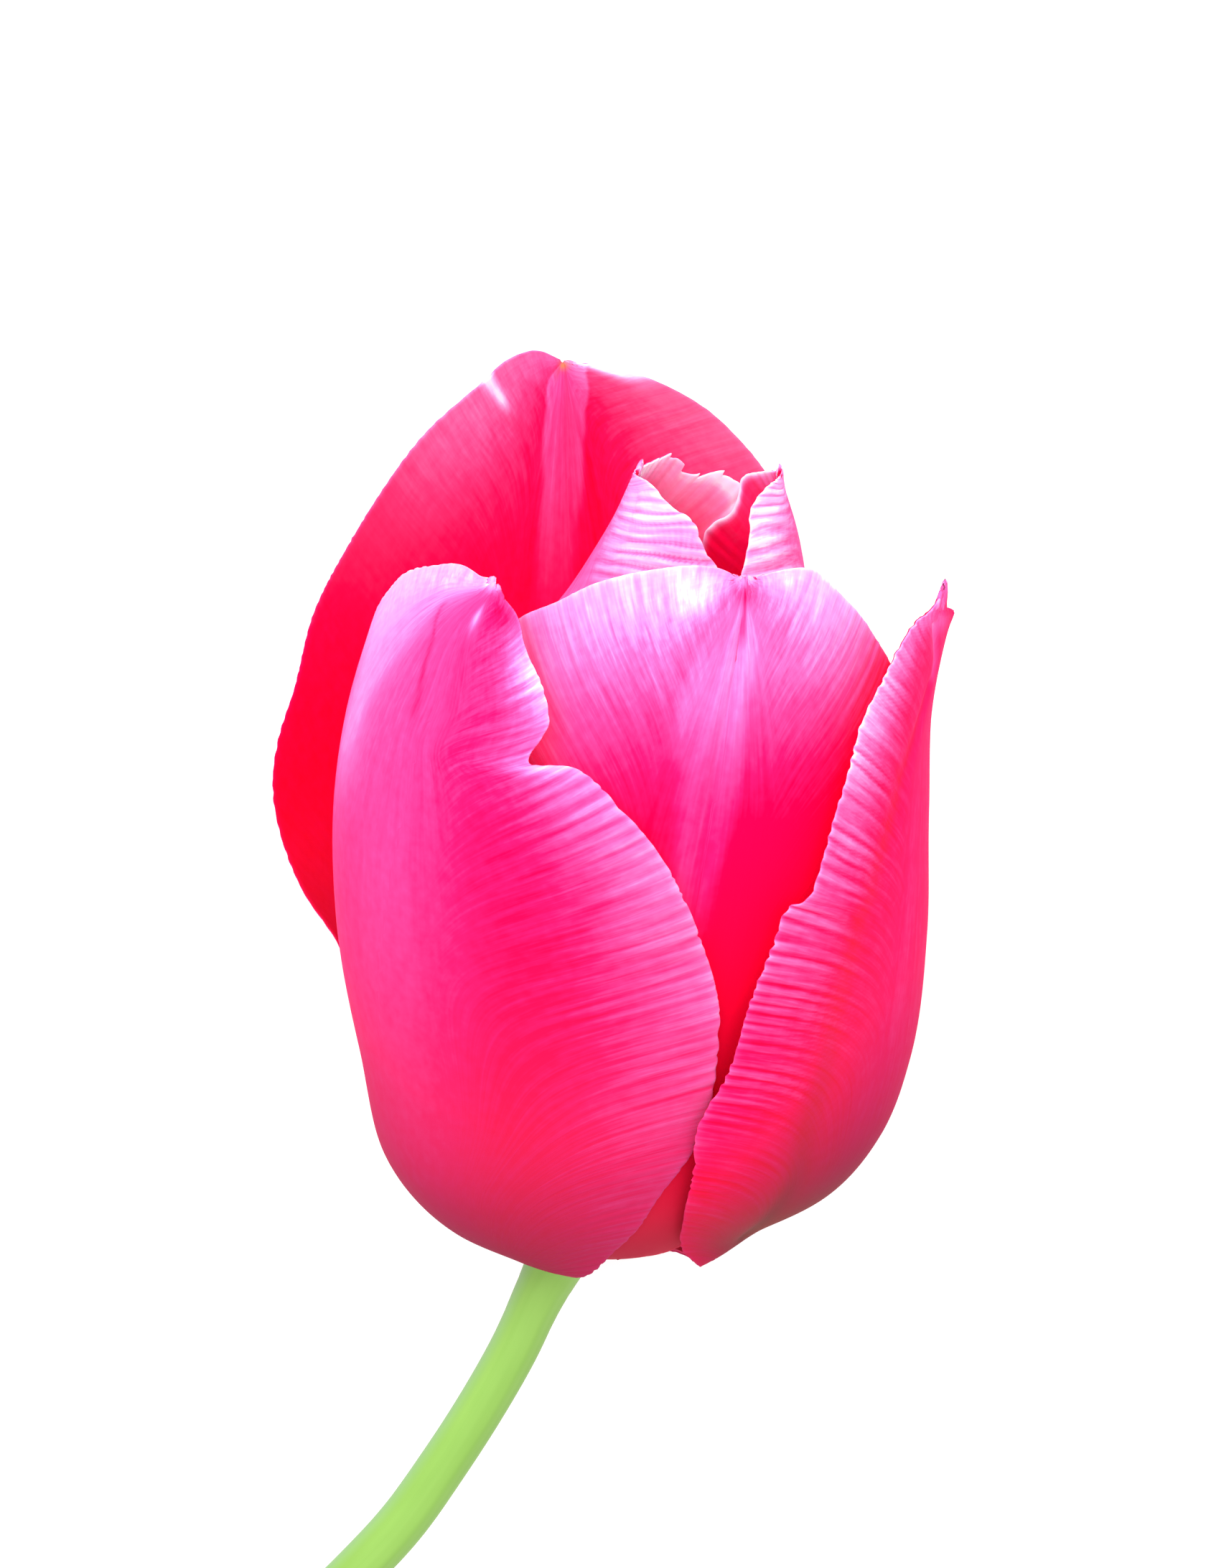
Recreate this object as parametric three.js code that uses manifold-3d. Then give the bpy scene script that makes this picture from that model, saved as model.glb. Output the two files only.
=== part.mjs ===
// A cut tulip in bloom, lying on its side on a flat surface, in millimetres with +Z up.
// The bloom leans on the belly of its back petal and on the cut end of its bent stem.
// Every petal is spanned by three lines drawn round the bloom's axis: a margin, the midrib, a margin.
import * as THREE from 'three';
import { mergeVertices } from 'three/addons/utils/BufferGeometryUtils.js';
import Module from 'manifold-3d';

// Driving dimensions, in millimetres and degrees
const SEAT = new THREE.Vector3(21.834, 13.545, 20.5); // middle of the receptacle, where all the petals meet
const BLOOM_LEAN = 10; // the bloom's axis turns this far from +Y towards +X
const BLOOM_RISE = 15; // and climbs this steeply away from the surface
const PETAL_THICKNESS = 0.8; // along the midrib
const PETAL_EDGE = 0.6; // at the margins
const STEM_RADIUS = 2.5;
const SEAM = 0.3; // clearance between pieces that touch
const BELLY_HOLLOW = 0.08; // the pressed belly of the back petal is this far off the table between its feet

// How finely the faceted pieces are divided
const PETAL_COLUMNS = 14;
const PETAL_ROWS = 32;
const TIP_CUT = 0.985; // the petals end in a narrow blunt row, at this share of their length
const STEM_SIDES = 16;
const STEM_STEP = 3.5; // mm between the rings of the stem
const PISTIL_SIDES = 24;
const STAMEN_SIDES = 8;

const degrees = THREE.MathUtils.degToRad;

// Petal lines as [azimuth, radius, height] about the bloom's axis. Azimuth 0 faces up from the surface,
// 90 is the bloom's right, -90 its left, and 180 faces down. Heights count from the seat.
const PETALS = {
  petal_front_left: {
    left: [
      [-100, 5.1, -1.4], [-105, 13.2, 1.7], [-107, 18.9, 7.8], [-108, 22.3, 17.7], [-109, 27, 32],
      [-106, 28.6, 45], [-97, 28.9, 54], [-86, 28.7, 60.2], [-74, 28.1, 64.9], [-61, 27.3, 68.3],
      [-51, 26.4, 69.6], [-42, 25.8, 68.6],
    ],
    midrib: [
      [-48, 5.1, -1.4], [-52, 9, 0.2], [-54, 14.1, 2.3], [-55, 19.8, 7.5], [-55, 23.8, 17],
      [-55, 28.3, 30], [-54, 30.9, 44], [-51, 30.4, 57], [-46, 27.8, 66], [-42, 25.8, 68.6],
    ],
    right: [
      [3, 5.1, -1.4], [9, 10, 0.2], [16, 16.5, 5.5], [20.5, 22.5, 14.1], [24, 25.1, 20.5],
      [22.6, 27.7, 28.6], [19, 29, 36], [13, 29.4, 42.2], [4.5, 29.6, 48.6], [-4, 29.6, 52.6],
      [-14, 29.6, 55.6], [-23, 29.4, 55], [-21, 28.4, 58.9], [-23.5, 28, 61.5], [-30, 27.3, 64.8],
      [-33, 26.8, 66.9], [-42, 25.8, 68.6],
    ],
  },
  petal_front_right: {
    left: [
      [89, 5.1, -0.9], [80, 8, 1.5], [68, 12, 2.7], [58, 14.8, 2.8], [49, 17, 3.9], [39, 17.4, 6],
      [29.5, 20.9, 11], [23.5, 25.6, 17.3], [20.5, 28, 23], [23.4, 28.9, 28], [25, 29.4, 35.5],
      [27.4, 29.5, 41.7], [29.4, 29.5, 45.3], [32.5, 29.5, 46], [34.8, 29, 49.1], [37.6, 28.5, 55.2],
      [40.3, 28, 63], [43.6, 27.5, 65.4], [49, 27, 69.5], [53.5, 26.8, 71.6], [62.5, 26.6, 72.8],
    ],
    midrib: [
      [102, 5.1, -1.1], [94, 9, 0.6], [89, 13.7, 2.9], [86, 20.2, 7.7], [85, 25.4, 12.3],
      [84, 28.4, 18.5], [82, 29.6, 26], [80, 29, 38], [79, 27, 50], [78, 25.5, 60],
      [74, 25.6, 68], [62.5, 26.6, 72.8],
    ],
    right: [
      [120, 5.1, -1.3], [121, 13.5, 1.4], [121, 21, 7.6], [121, 25.9, 17], [121, 27.4, 31],
      [118, 27, 44], [112, 25.9, 55], [101, 25.2, 64], [84, 25.6, 70], [62.5, 26.6, 72.8],
    ],
  },
  petal_back: {
    feet: [[9, 9], [12, 6], [16, 8]], // row and column of the three points that stand on the table
    left: [
      [-126, 5.1, -1.4], [-124, 13.5, 1], [-121, 21, 8.2], [-116, 27, 17], [-112, 30.5, 23.3],
      [-109, 34, 27.7], [-107.7, 37.1, 33.1], [-106, 38.3, 39], [-107, 38.6, 42.5], [-110.5, 38.8, 47.3],
      [-113.5, 39, 54.5], [-119, 38.4, 61.5], [-124.4, 37.8, 67.3], [-131.3, 37, 73.3],
      [-138.5, 36.2, 77.9], [-144, 36, 81], [-149, 36, 82], [-153.7, 36, 81.2],
    ],
    midrib: [
      [-177, 5.1, -1.4], [-175, 13.5, 1], [-172, 21, 7.6], [-169, 26.4, 17], [-165, 30.3, 31],
      [-161, 33.2, 46], [-157.5, 35.3, 60], [-155.6, 36, 71], [-153.7, 36, 81.2],
    ],
    right: [
      [-228, 5.1, -1.4], [-229, 13.5, 1.2], [-229, 21, 8], [-229, 26, 18], [-227, 28.4, 32],
      [-217, 28.9, 46], [-208, 29.6, 57.9], [-198.5, 30.5, 69.3], [-191, 31.2, 74.2],
      [-185, 32.2, 76.6], [-179.7, 33.2, 78.4], [-168, 34.7, 80.7], [-153.7, 36, 81.2],
    ],
  },
  petal_inner_front: {
    left: [
      [-34, 4.2, 0.6], [-38, 11, 3.2], [-44, 17.2, 8.8], [-48, 22.2, 17.5], [-52, 25.4, 30],
      [-53, 25.8, 44], [-48, 24.6, 57], [-38.5, 23.2, 66.2], [-31, 23, 68.3], [-21, 23, 71.3],
      [-6.6, 23, 74], [0, 23, 74.8], [7, 22.8, 74.9], [12.8, 22.8, 74],
    ],
    midrib: [
      [12, 4.2, 0.6], [12, 8, 1.7], [12, 11.5, 3.3], [12, 17.4, 9], [12, 22.4, 17.5],
      [12, 25.5, 30], [12, 26.2, 43], [12.5, 25.4, 56], [12.8, 23.8, 67], [12.8, 22.8, 74],
    ],
    right: [
      [58, 4.2, 0.4], [62, 11, 2.9], [68, 17.2, 8.8], [71, 22.2, 17.5], [75, 25.4, 30],
      [75, 25.8, 44], [70, 24.6, 57], [57.6, 23.8, 66.6], [50.5, 23.6, 69.3], [39, 23.4, 73.1],
      [26.5, 23, 75.9], [20.5, 22.9, 75.4], [12.8, 22.8, 74],
    ],
  },
  petal_inner_left: {
    left: [
      [-168, 4.2, 0.6], [-168, 11, 3.4], [-168, 17.4, 9.5], [-169, 21.8, 19], [-172, 23, 32],
      [-177, 21.5, 45], [-187, 18, 57], [-198, 14, 67], [-203, 11.8, 73], [-200, 10.6, 76.4],
      [-191.5, 10, 77.4], [-173.5, 9.3, 76.9], [-158.5, 8.5, 78.7], [-135, 7.6, 78],
      [-104, 6.2, 77.4],
    ],
    midrib: [
      [-118, 4.2, 0.6], [-118, 11, 3.4], [-118, 17.4, 9.5], [-118, 22, 19], [-118, 24, 32],
      [-115, 21.8, 44], [-110, 15.5, 57], [-105, 10.4, 66], [-102, 7.8, 72.5], [-104, 6.2, 77.4],
    ],
    right: [
      [-72, 4.2, 0.6], [-72, 10.6, 4], [-68, 16.2, 9.9], [-66, 20.8, 19], [-63, 22.2, 32],
      [-58, 20, 45], [-44, 15.5, 56], [-22, 12, 64.5], [4, 10.4, 69.5], [16, 10, 71.6],
      [6.5, 9.5, 73.7], [-2.5, 9, 76], [-18, 8.5, 76.8], [-38.5, 7.8, 78.1], [-70, 7, 78],
      [-104, 6.2, 77.4],
    ],
  },
  petal_inner_right: {
    left: [
      [74, 4.2, 0.6], [73, 10.6, 4], [68, 15.8, 9.9], [64, 20.4, 19], [60, 22, 32],
      [57, 19.8, 45], [51, 15.4, 56], [41, 12.2, 65], [29.5, 10, 71.6], [32, 9.5, 73.1],
      [34, 9, 75.4], [34, 8.5, 77.5], [48, 8, 79.6], [68, 7.4, 80.1], [90, 6.8, 79.9],
    ],
    midrib: [
      [120, 4.2, 0.6], [120, 11, 3.4], [120, 17.4, 9.5], [120, 22.6, 19], [119, 24.2, 32],
      [116, 21.8, 44], [110, 16.4, 57], [100, 12, 67.5], [92, 9.3, 75], [90, 6.8, 79.9],
    ],
    right: [
      [170, 4.2, 0.6], [170, 11, 3.4], [170, 17.4, 9.5], [171, 21.6, 19], [173, 22.4, 32],
      [177, 20.2, 45], [182, 15.6, 56], [182, 11.3, 64], [173, 8.4, 69.5], [171, 8, 71.8],
      [165.5, 8, 72.8], [157, 8, 73.8], [153.5, 8, 75.5], [153, 8, 77.5], [133, 7.5, 79],
      [112, 7, 79.7], [90, 6.8, 79.9],
    ],
  },
};

// The stem seen from above, as [x, y] from the seat. It ends in a stretch that lies on the surface.
const STEM_PLAN = [
  [-2.9, -5.6], [-5.5, -11.2], [-8.8, -17.1], [-12.6, -23.1], [-16.8, -29.1], [-21.4, -34.2],
  [-30.2, -42.8], [-44.2, -57.2], [-56.8, -72.9], [-67.2, -90.1], [-78.4, -115],
];
const STEM_LANDING = 112; // mm of stem, seen from above, before it touches the surface

// The receptacle under the petals, as [distance below the seat, radius], down to the plain stem
const RECEPTACLE = [
  [0, 4.2], [0.5, 4.4], [1.1, 4.1], [1.8, 3.5], [2.6, 3.05], [4, 2.8], [6.5, 2.6], [9, 2.5],
];

// The parts inside the cup of petals, on the receptacle
const PISTIL = [ // [height, radius, depth of the grooves between its three lobes]
  [0, 1.7, 0.1], [1.5, 1.9, 0.15], [5, 2.5, 0.2], [10, 2.7, 0.2], [15, 2.4, 0.2], [18, 2, 0.2],
  [19.2, 2.5, 0.45], [20.6, 3.7, 0.6], [21.6, 3.5, 0.65],
];
const STAMENS = 6;
const STAMEN_RING = 2.9; // radius of the ring on which the feet of the filaments meet
const STAMEN_RING_TUBE = 0.6;
const STAMEN = [ // [outwards, height, half width, half depth]: the filament, then the anther on its tip
  [0, 0.8, 0.5, 0.5], [0.3, 2.2, 0.75, 0.6], [1.4, 6, 0.6, 0.5], [2.3, 10.6, 0.35, 0.35],
  [2.4, 11.6, 0.4, 0.4], [2.5, 12, 0.85, 0.6], [2.8, 14, 1.15, 0.85], [3.2, 17.5, 1.1, 0.8],
  [3.5, 20, 0.75, 0.55], [3.6, 20.9, 0.3, 0.25],
];

const MATERIALS = {
  petal: new THREE.MeshStandardMaterial({ color: 0xf72a80, roughness: 0.5, metalness: 0 }),
  stem: new THREE.MeshStandardMaterial({ color: 0x93c460, roughness: 0.55, metalness: 0 }),
  pistil: new THREE.MeshStandardMaterial({ color: 0xb9cf74, roughness: 0.6, metalness: 0 }),
  stamens: new THREE.MeshStandardMaterial({ color: 0x4a3550, roughness: 0.9, metalness: 0 }),
};

/** Place of an azimuth in degrees, a radius and a height in the bloom's own frame. */
function fromPolar([azimuth, radius, height]) {
  const turn = degrees(azimuth);
  return new THREE.Vector3(radius * Math.sin(turn), -radius * Math.cos(turn), height);
}

/** The smooth line through a rail's points, as a function of the share of its length. */
function smoothRail(rail) {
  const places = rail.map(fromPolar);
  const marks = [0];
  for (let i = 1; i < rail.length; i++) marks.push(marks[i - 1] + places[i].distanceTo(places[i - 1]));
  const total = marks.at(-1);
  const width = (i) => (marks[i + 1] - marks[i]) / total;
  const slope = (i, k) => (rail[i + 1][k] - rail[i][k]) / width(i);
  const last = rail.length - 1;
  const tangent = (i, k) => {
    if (i === 0) return slope(0, k);
    if (i === last) return slope(last - 1, k);
    return (slope(i - 1, k) * width(i) + slope(i, k) * width(i - 1)) / (width(i - 1) + width(i));
  };
  return (share) => {
    let i = 0;
    while (i < last - 1 && share * total > marks[i + 1]) i++;
    const w = width(i);
    const x = (share - marks[i] / total) / w;
    return [0, 1, 2].map((k) =>
      (2 * x ** 3 - 3 * x ** 2 + 1) * rail[i][k] + (x ** 3 - 2 * x ** 2 + x) * w * tangent(i, k)
      + (3 * x ** 2 - 2 * x ** 3) * rail[i + 1][k] + (x ** 3 - x ** 2) * w * tangent(i + 1, k));
  };
}

/** The middle surface of a petal: u runs from -1 to 1 between its margins, v from 0 to 1 to its tip. */
function petalSurface({ left, midrib, right }) {
  const [low, middle, high] = [left, midrib, right].map(smoothRail);
  return (u, v) => {
    const [a, m, b] = [low(v), middle(v), high(v)];
    return fromPolar(m.map((c, k) => c + (u * (b[k] - a[k])) / 2 + u * u * ((a[k] + b[k]) / 2 - c)));
  };
}

/** A closed mesh from points and triangles. */
function closedMesh(points, triangles) {
  const geometry = new THREE.BufferGeometry().setFromPoints(points);
  geometry.setIndex(triangles.flat());
  geometry.computeVertexNormals();
  return geometry;
}

/** Two triangles for each cell between rows of equal length, split alike whichever way they face. */
function gridTriangles(rows, columns, first, flip) {
  const triangles = [];
  const at = (row, column) => first + row * columns + column;
  for (let row = 0; row + 1 < rows; row++) {
    for (let column = 0; column + 1 < columns; column++) {
      const [a, b] = [at(row, column), at(row, column + 1)];
      const [c, d] = [at(row + 1, column + 1), at(row + 1, column)];
      triangles.push(...(flip ? [[a, c, b], [a, d, c]] : [[a, b, c], [a, c, d]]));
    }
  }
  return triangles;
}

/** A petal with an outer and an inner skin, pressed up from the table except at its feet. */
function petalGeometry({ feet = [], ...rails }, table) {
  const surface = petalSurface(rails);
  const middle = [];
  const shareU = (column) => (2 * column) / PETAL_COLUMNS - 1;
  const halfThickness = (column) =>
    THREE.MathUtils.lerp(PETAL_THICKNESS, PETAL_EDGE, shareU(column) ** 2) / 2;
  for (let row = 0; row <= PETAL_ROWS; row++) {
    for (let column = 0; column <= PETAL_COLUMNS; column++) {
      const point = surface(shareU(column), (TIP_CUT * row) / PETAL_ROWS);
      const stands = feet.some((foot) => foot[0] === row && foot[1] === column);
      const clearance = stands ? 0 : BELLY_HOLLOW;
      const sunk = halfThickness(column) + clearance - table.distanceToPoint(point);
      middle.push(stands || sunk > 0 ? point.addScaledVector(table.normal, sunk) : point);
    }
  }
  const columns = PETAL_COLUMNS + 1;
  const rows = PETAL_ROWS + 1;
  const at = (row, column) => row * columns + column;
  const place = (row, column) => middle[
    at(THREE.MathUtils.clamp(row, 0, PETAL_ROWS), THREE.MathUtils.clamp(column, 0, PETAL_COLUMNS))];
  const skins = [[], []];
  for (let row = 0; row < rows; row++) {
    for (let column = 0; column < columns; column++) {
      const across = place(row, column + 1).clone().sub(place(row, column - 1));
      const along = place(row + 1, column).clone().sub(place(row - 1, column));
      const outward = across.cross(along).normalize().multiplyScalar(halfThickness(column));
      skins[0].push(place(row, column).clone().add(outward));
      skins[1].push(place(row, column).clone().sub(outward));
    }
  }
  const points = skins.flat();
  const inner = skins[0].length;
  const triangles = [
    ...gridTriangles(rows, columns, 0, false),
    ...gridTriangles(rows, columns, inner, true),
  ];
  const rim = [];
  for (let column = 0; column < PETAL_COLUMNS; column++) rim.push(at(0, column));
  for (let row = 0; row < PETAL_ROWS; row++) rim.push(at(row, PETAL_COLUMNS));
  for (let column = PETAL_COLUMNS; column > 0; column--) rim.push(at(PETAL_ROWS, column));
  for (let row = PETAL_ROWS; row > 0; row--) rim.push(at(row, 0));
  rim.forEach((a, i) => {
    const b = rim[(i + 1) % rim.length];
    triangles.push([a, inner + a, b], [b, inner + a, inner + b]);
  });
  return closedMesh(points, triangles);
}

/** A solid with flat ends through rings of equal length, each listed anticlockwise about its direction. */
function loftGeometry(rings) {
  const sides = rings[0].length;
  const points = rings.flat();
  const triangles = [];
  for (let ring = 0; ring + 1 < rings.length; ring++) {
    for (let side = 0; side < sides; side++) {
      const a = ring * sides + side;
      const b = ring * sides + ((side + 1) % sides);
      triangles.push([a, b, b + sides], [a, b + sides, a + sides]);
    }
  }
  const end = points.length - sides;
  for (let side = 1; side + 1 < sides; side++) {
    triangles.push([0, side + 1, side], [end, end + side, end + side + 1]);
  }
  return closedMesh(points, triangles);
}

/** A ring of points square to a direction, with the middle of one side facing the given way. */
function ringAt(centre, direction, radius, sides, facing) {
  const axis = direction.clone().normalize();
  const x = facing.clone().addScaledVector(axis, -facing.dot(axis)).normalize();
  const y = axis.clone().cross(x);
  return Array.from({ length: sides }, (_, side) => {
    const turn = ((side + 0.5) / sides) * 2 * Math.PI;
    return centre.clone().addScaledVector(x, radius * Math.cos(turn)).addScaledVector(y, radius * Math.sin(turn));
  });
}

/** The stem's middle line: it leaves the seat along the bloom's axis and comes to lie on the surface. */
class StemLine extends THREE.Curve {
  constructor(axis) {
    super();
    const places = [[0, 0], ...STEM_PLAN].map(([x, y]) => new THREE.Vector3(SEAT.x + x, SEAT.y + y, 0));
    this.plan = new THREE.CatmullRomCurve3(places);
    this.slope = -axis.z / Math.hypot(axis.x, axis.y);
    this.rest = STEM_RADIUS * Math.cos(Math.PI / STEM_SIDES);
  }

  getPoint(share, target = new THREE.Vector3()) {
    const x = Math.min((share * this.plan.getLength()) / STEM_LANDING, 1);
    const fall = this.slope * STEM_LANDING * (x ** 3 - 2 * x ** 2 + x);
    target.copy(this.plan.getPointAt(share));
    target.z = THREE.MathUtils.lerp(SEAT.z, this.rest, 3 * x ** 2 - 2 * x ** 3) + fall;
    return target;
  }
}

/** The stem with the receptacle as its widened top. */
function stemGeometry(axis) {
  const line = new StemLine(axis);
  const down = new THREE.Vector3(0, 0, -1);
  const rings = RECEPTACLE.map(([below, radius]) => {
    const share = below / line.getLength();
    const bend = Math.min(below / RECEPTACLE.at(-1)[0], 1);
    const direction = axis.clone().negate().lerp(line.getTangentAt(share), bend);
    return ringAt(line.getPointAt(share), direction, radius, STEM_SIDES, down);
  });
  const start = RECEPTACLE.at(-1)[0] / line.getLength();
  const steps = Math.round((line.getLength() * (1 - start)) / STEM_STEP);
  for (let step = 1; step <= steps; step++) {
    const share = THREE.MathUtils.lerp(start, 1, step / steps);
    rings.push(ringAt(line.getPointAt(share), line.getTangentAt(share), STEM_RADIUS, STEM_SIDES, down));
  }
  return loftGeometry(rings);
}

/** The pistil: a three-cornered ovary that carries the three lobes of the stigma. */
function pistilGeometry() {
  return loftGeometry(PISTIL.map(([height, radius, groove]) =>
    Array.from({ length: PISTIL_SIDES }, (_, side) => {
      const turn = (side / PISTIL_SIDES) * 2 * Math.PI;
      const reach = radius * (1 - groove * (1 - Math.abs(Math.cos(1.5 * turn)) ** 0.7));
      return new THREE.Vector3(reach * Math.cos(turn), reach * Math.sin(turn), height + SEAM);
    })));
}

/** One stamen, leaning outwards from its foot. */
function stamenGeometry() {
  const line = STAMEN.map(([out, height]) => new THREE.Vector3(STAMEN_RING + out, 0, height + SEAM));
  return loftGeometry(STAMEN.map(([, , width, depth], i) => {
    const before = line[Math.max(i - 1, 0)];
    const after = line[Math.min(i + 1, line.length - 1)];
    const lean = Math.atan2(after.x - before.x, after.z - before.z);
    return Array.from({ length: STAMEN_SIDES }, (_, side) => {
      const turn = (side / STAMEN_SIDES) * 2 * Math.PI;
      const out = depth * Math.cos(turn);
      const offset = new THREE.Vector3(out * Math.cos(lean), width * Math.sin(turn), -out * Math.sin(lean));
      return offset.add(line[i]);
    });
  }));
}

/** A solid made of the given closed geometries. */
function joined(geometries) {
  const solids = geometries.map((geometry) => {
    const bare = geometry.clone().deleteAttribute('normal').deleteAttribute('uv');
    const { index, attributes } = mergeVertices(bare);
    return new wasm.Manifold(new wasm.Mesh({
      numProp: 3,
      vertProperties: attributes.position.array,
      triVerts: Uint32Array.from(index.array),
    }));
  });
  const { vertProperties, triVerts } = solids.reduce((all, next) => all.add(next)).getMesh();
  const geometry = new THREE.BufferGeometry();
  geometry.setAttribute('position', new THREE.BufferAttribute(vertProperties, 3));
  geometry.setIndex(new THREE.BufferAttribute(triVerts, 1));
  geometry.computeVertexNormals();
  return geometry;
}

/** The six stamens, whose broad feet meet in a ring round the pistil. */
function stamensGeometry() {
  const ring = new THREE.TorusGeometry(STAMEN_RING, STAMEN_RING_TUBE, STAMEN_SIDES, 3 * STAMEN_SIDES);
  ring.translate(0, 0, STAMEN_RING_TUBE + SEAM);
  const stamens = Array.from({ length: STAMENS }, (_, i) =>
    stamenGeometry().rotateZ(((i + 0.5) / STAMENS) * 2 * Math.PI));
  return joined([ring, ...stamens]);
}

/** A named mesh. */
function piece(name, geometry, material) {
  const mesh = new THREE.Mesh(geometry, material);
  mesh.name = name;
  return mesh;
}

/** The bloom, turned so that its own +Z runs up through the flower and its own -Y faces up. */
function bloomGroup() {
  const bloom = new THREE.Group();
  bloom.position.copy(SEAT);
  bloom.rotation.set(degrees(BLOOM_RISE - 90), 0, degrees(-BLOOM_LEAN), 'ZYX');
  bloom.updateMatrixWorld(true);
  const table = new THREE.Plane(new THREE.Vector3(0, 0, 1), 0).applyMatrix4(bloom.matrixWorld.clone().invert());
  for (const [name, rails] of Object.entries(PETALS)) {
    bloom.add(piece(name, petalGeometry(rails, table), MATERIALS.petal));
  }
  bloom.add(piece('pistil', pistilGeometry(), MATERIALS.pistil));
  bloom.add(piece('stamens', stamensGeometry(), MATERIALS.stamens));
  return bloom;
}

const wasm = await Module();
wasm.setup();
const tulip = new THREE.Group();
const bloom = bloomGroup();
const axis = new THREE.Vector3(0, 0, 1).transformDirection(bloom.matrixWorld);
tulip.add(bloom, piece('stem', stemGeometry(axis), MATERIALS.stem));

export default tulip;
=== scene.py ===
"""A cut tulip lying on its side: fine petals, stem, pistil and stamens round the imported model."""
import math

import bpy
import numpy as np
from mathutils import Euler, Matrix, Vector


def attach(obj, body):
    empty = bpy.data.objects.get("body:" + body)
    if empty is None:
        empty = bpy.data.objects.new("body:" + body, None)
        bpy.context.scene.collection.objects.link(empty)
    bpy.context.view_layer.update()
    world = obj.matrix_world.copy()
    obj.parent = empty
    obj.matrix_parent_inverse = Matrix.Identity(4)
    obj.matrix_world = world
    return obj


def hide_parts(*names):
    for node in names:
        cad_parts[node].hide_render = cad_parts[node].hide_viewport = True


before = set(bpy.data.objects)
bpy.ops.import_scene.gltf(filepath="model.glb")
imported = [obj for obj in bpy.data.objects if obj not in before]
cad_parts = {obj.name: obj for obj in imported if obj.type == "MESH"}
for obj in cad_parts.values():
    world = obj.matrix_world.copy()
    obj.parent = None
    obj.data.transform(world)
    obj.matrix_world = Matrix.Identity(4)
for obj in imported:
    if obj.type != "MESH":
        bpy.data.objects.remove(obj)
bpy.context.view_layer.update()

MM = 0.001
TINY = 1e-9

# The bloom's place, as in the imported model, in millimetres and degrees
SEAT = np.array([21.834, 13.545, 20.5])
BLOOM_LEAN = 10
BLOOM_RISE = 15

# The photograph's view: the camera looks straight down, with the petals' tips towards the top
CAMERA_MM = (25.579, 58.905, 529.5)
LENS_MM = 117.74
SENSOR_MM = 36

# Lights as (name, place, size, power), the place that they point at, and the surface, in metres
LIGHTS = [("key", (-0.25, 0.5, 0.75), 0.6, 6.5), ("fill", (0.1, 0.02, 0.7), 0.4, 2.2)]
LIT_PLACE = (0.03, 0.05, 0.02)
SKY_STRENGTH = 0.82
FLOOR_SIZE = 4

# Petal blades, in millimetres. u runs from -1 to 1 between the margins of a petal, and v from 0 at
# its base to 1 at its tip.
THICKNESS = 0.55  # along the midrib
EDGE_THICKNESS = 0.3  # at the margins, before they round off
HALF_WIDTH = 35.0  # about that of every petal, from the midrib to a margin
PETAL_LENGTH = 88.0  # about that of every petal, to scale its veins
GRID = {"petal_inner_left": (250, 108, 50), "petal_inner_right": (250, 108, 50)}
PLAIN_GRID = (310, 122, 224)  # rows, columns, and how many of the rows lie below SPLIT
SPLIT = 0.72
LAST_ROW = 0.998
EVEN_TO = 0.98  # columns are evenly spaced up to this far from the midrib
ROUNDING = 0.011  # the margins round off over this much of u
MARGIN_COLUMNS = (0, 0.0004, 0.0018, 0.005, ROUNDING)  # how far these lie from a margin, in u
FIRST_SEED, SEED_STEP = 3, 10

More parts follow.
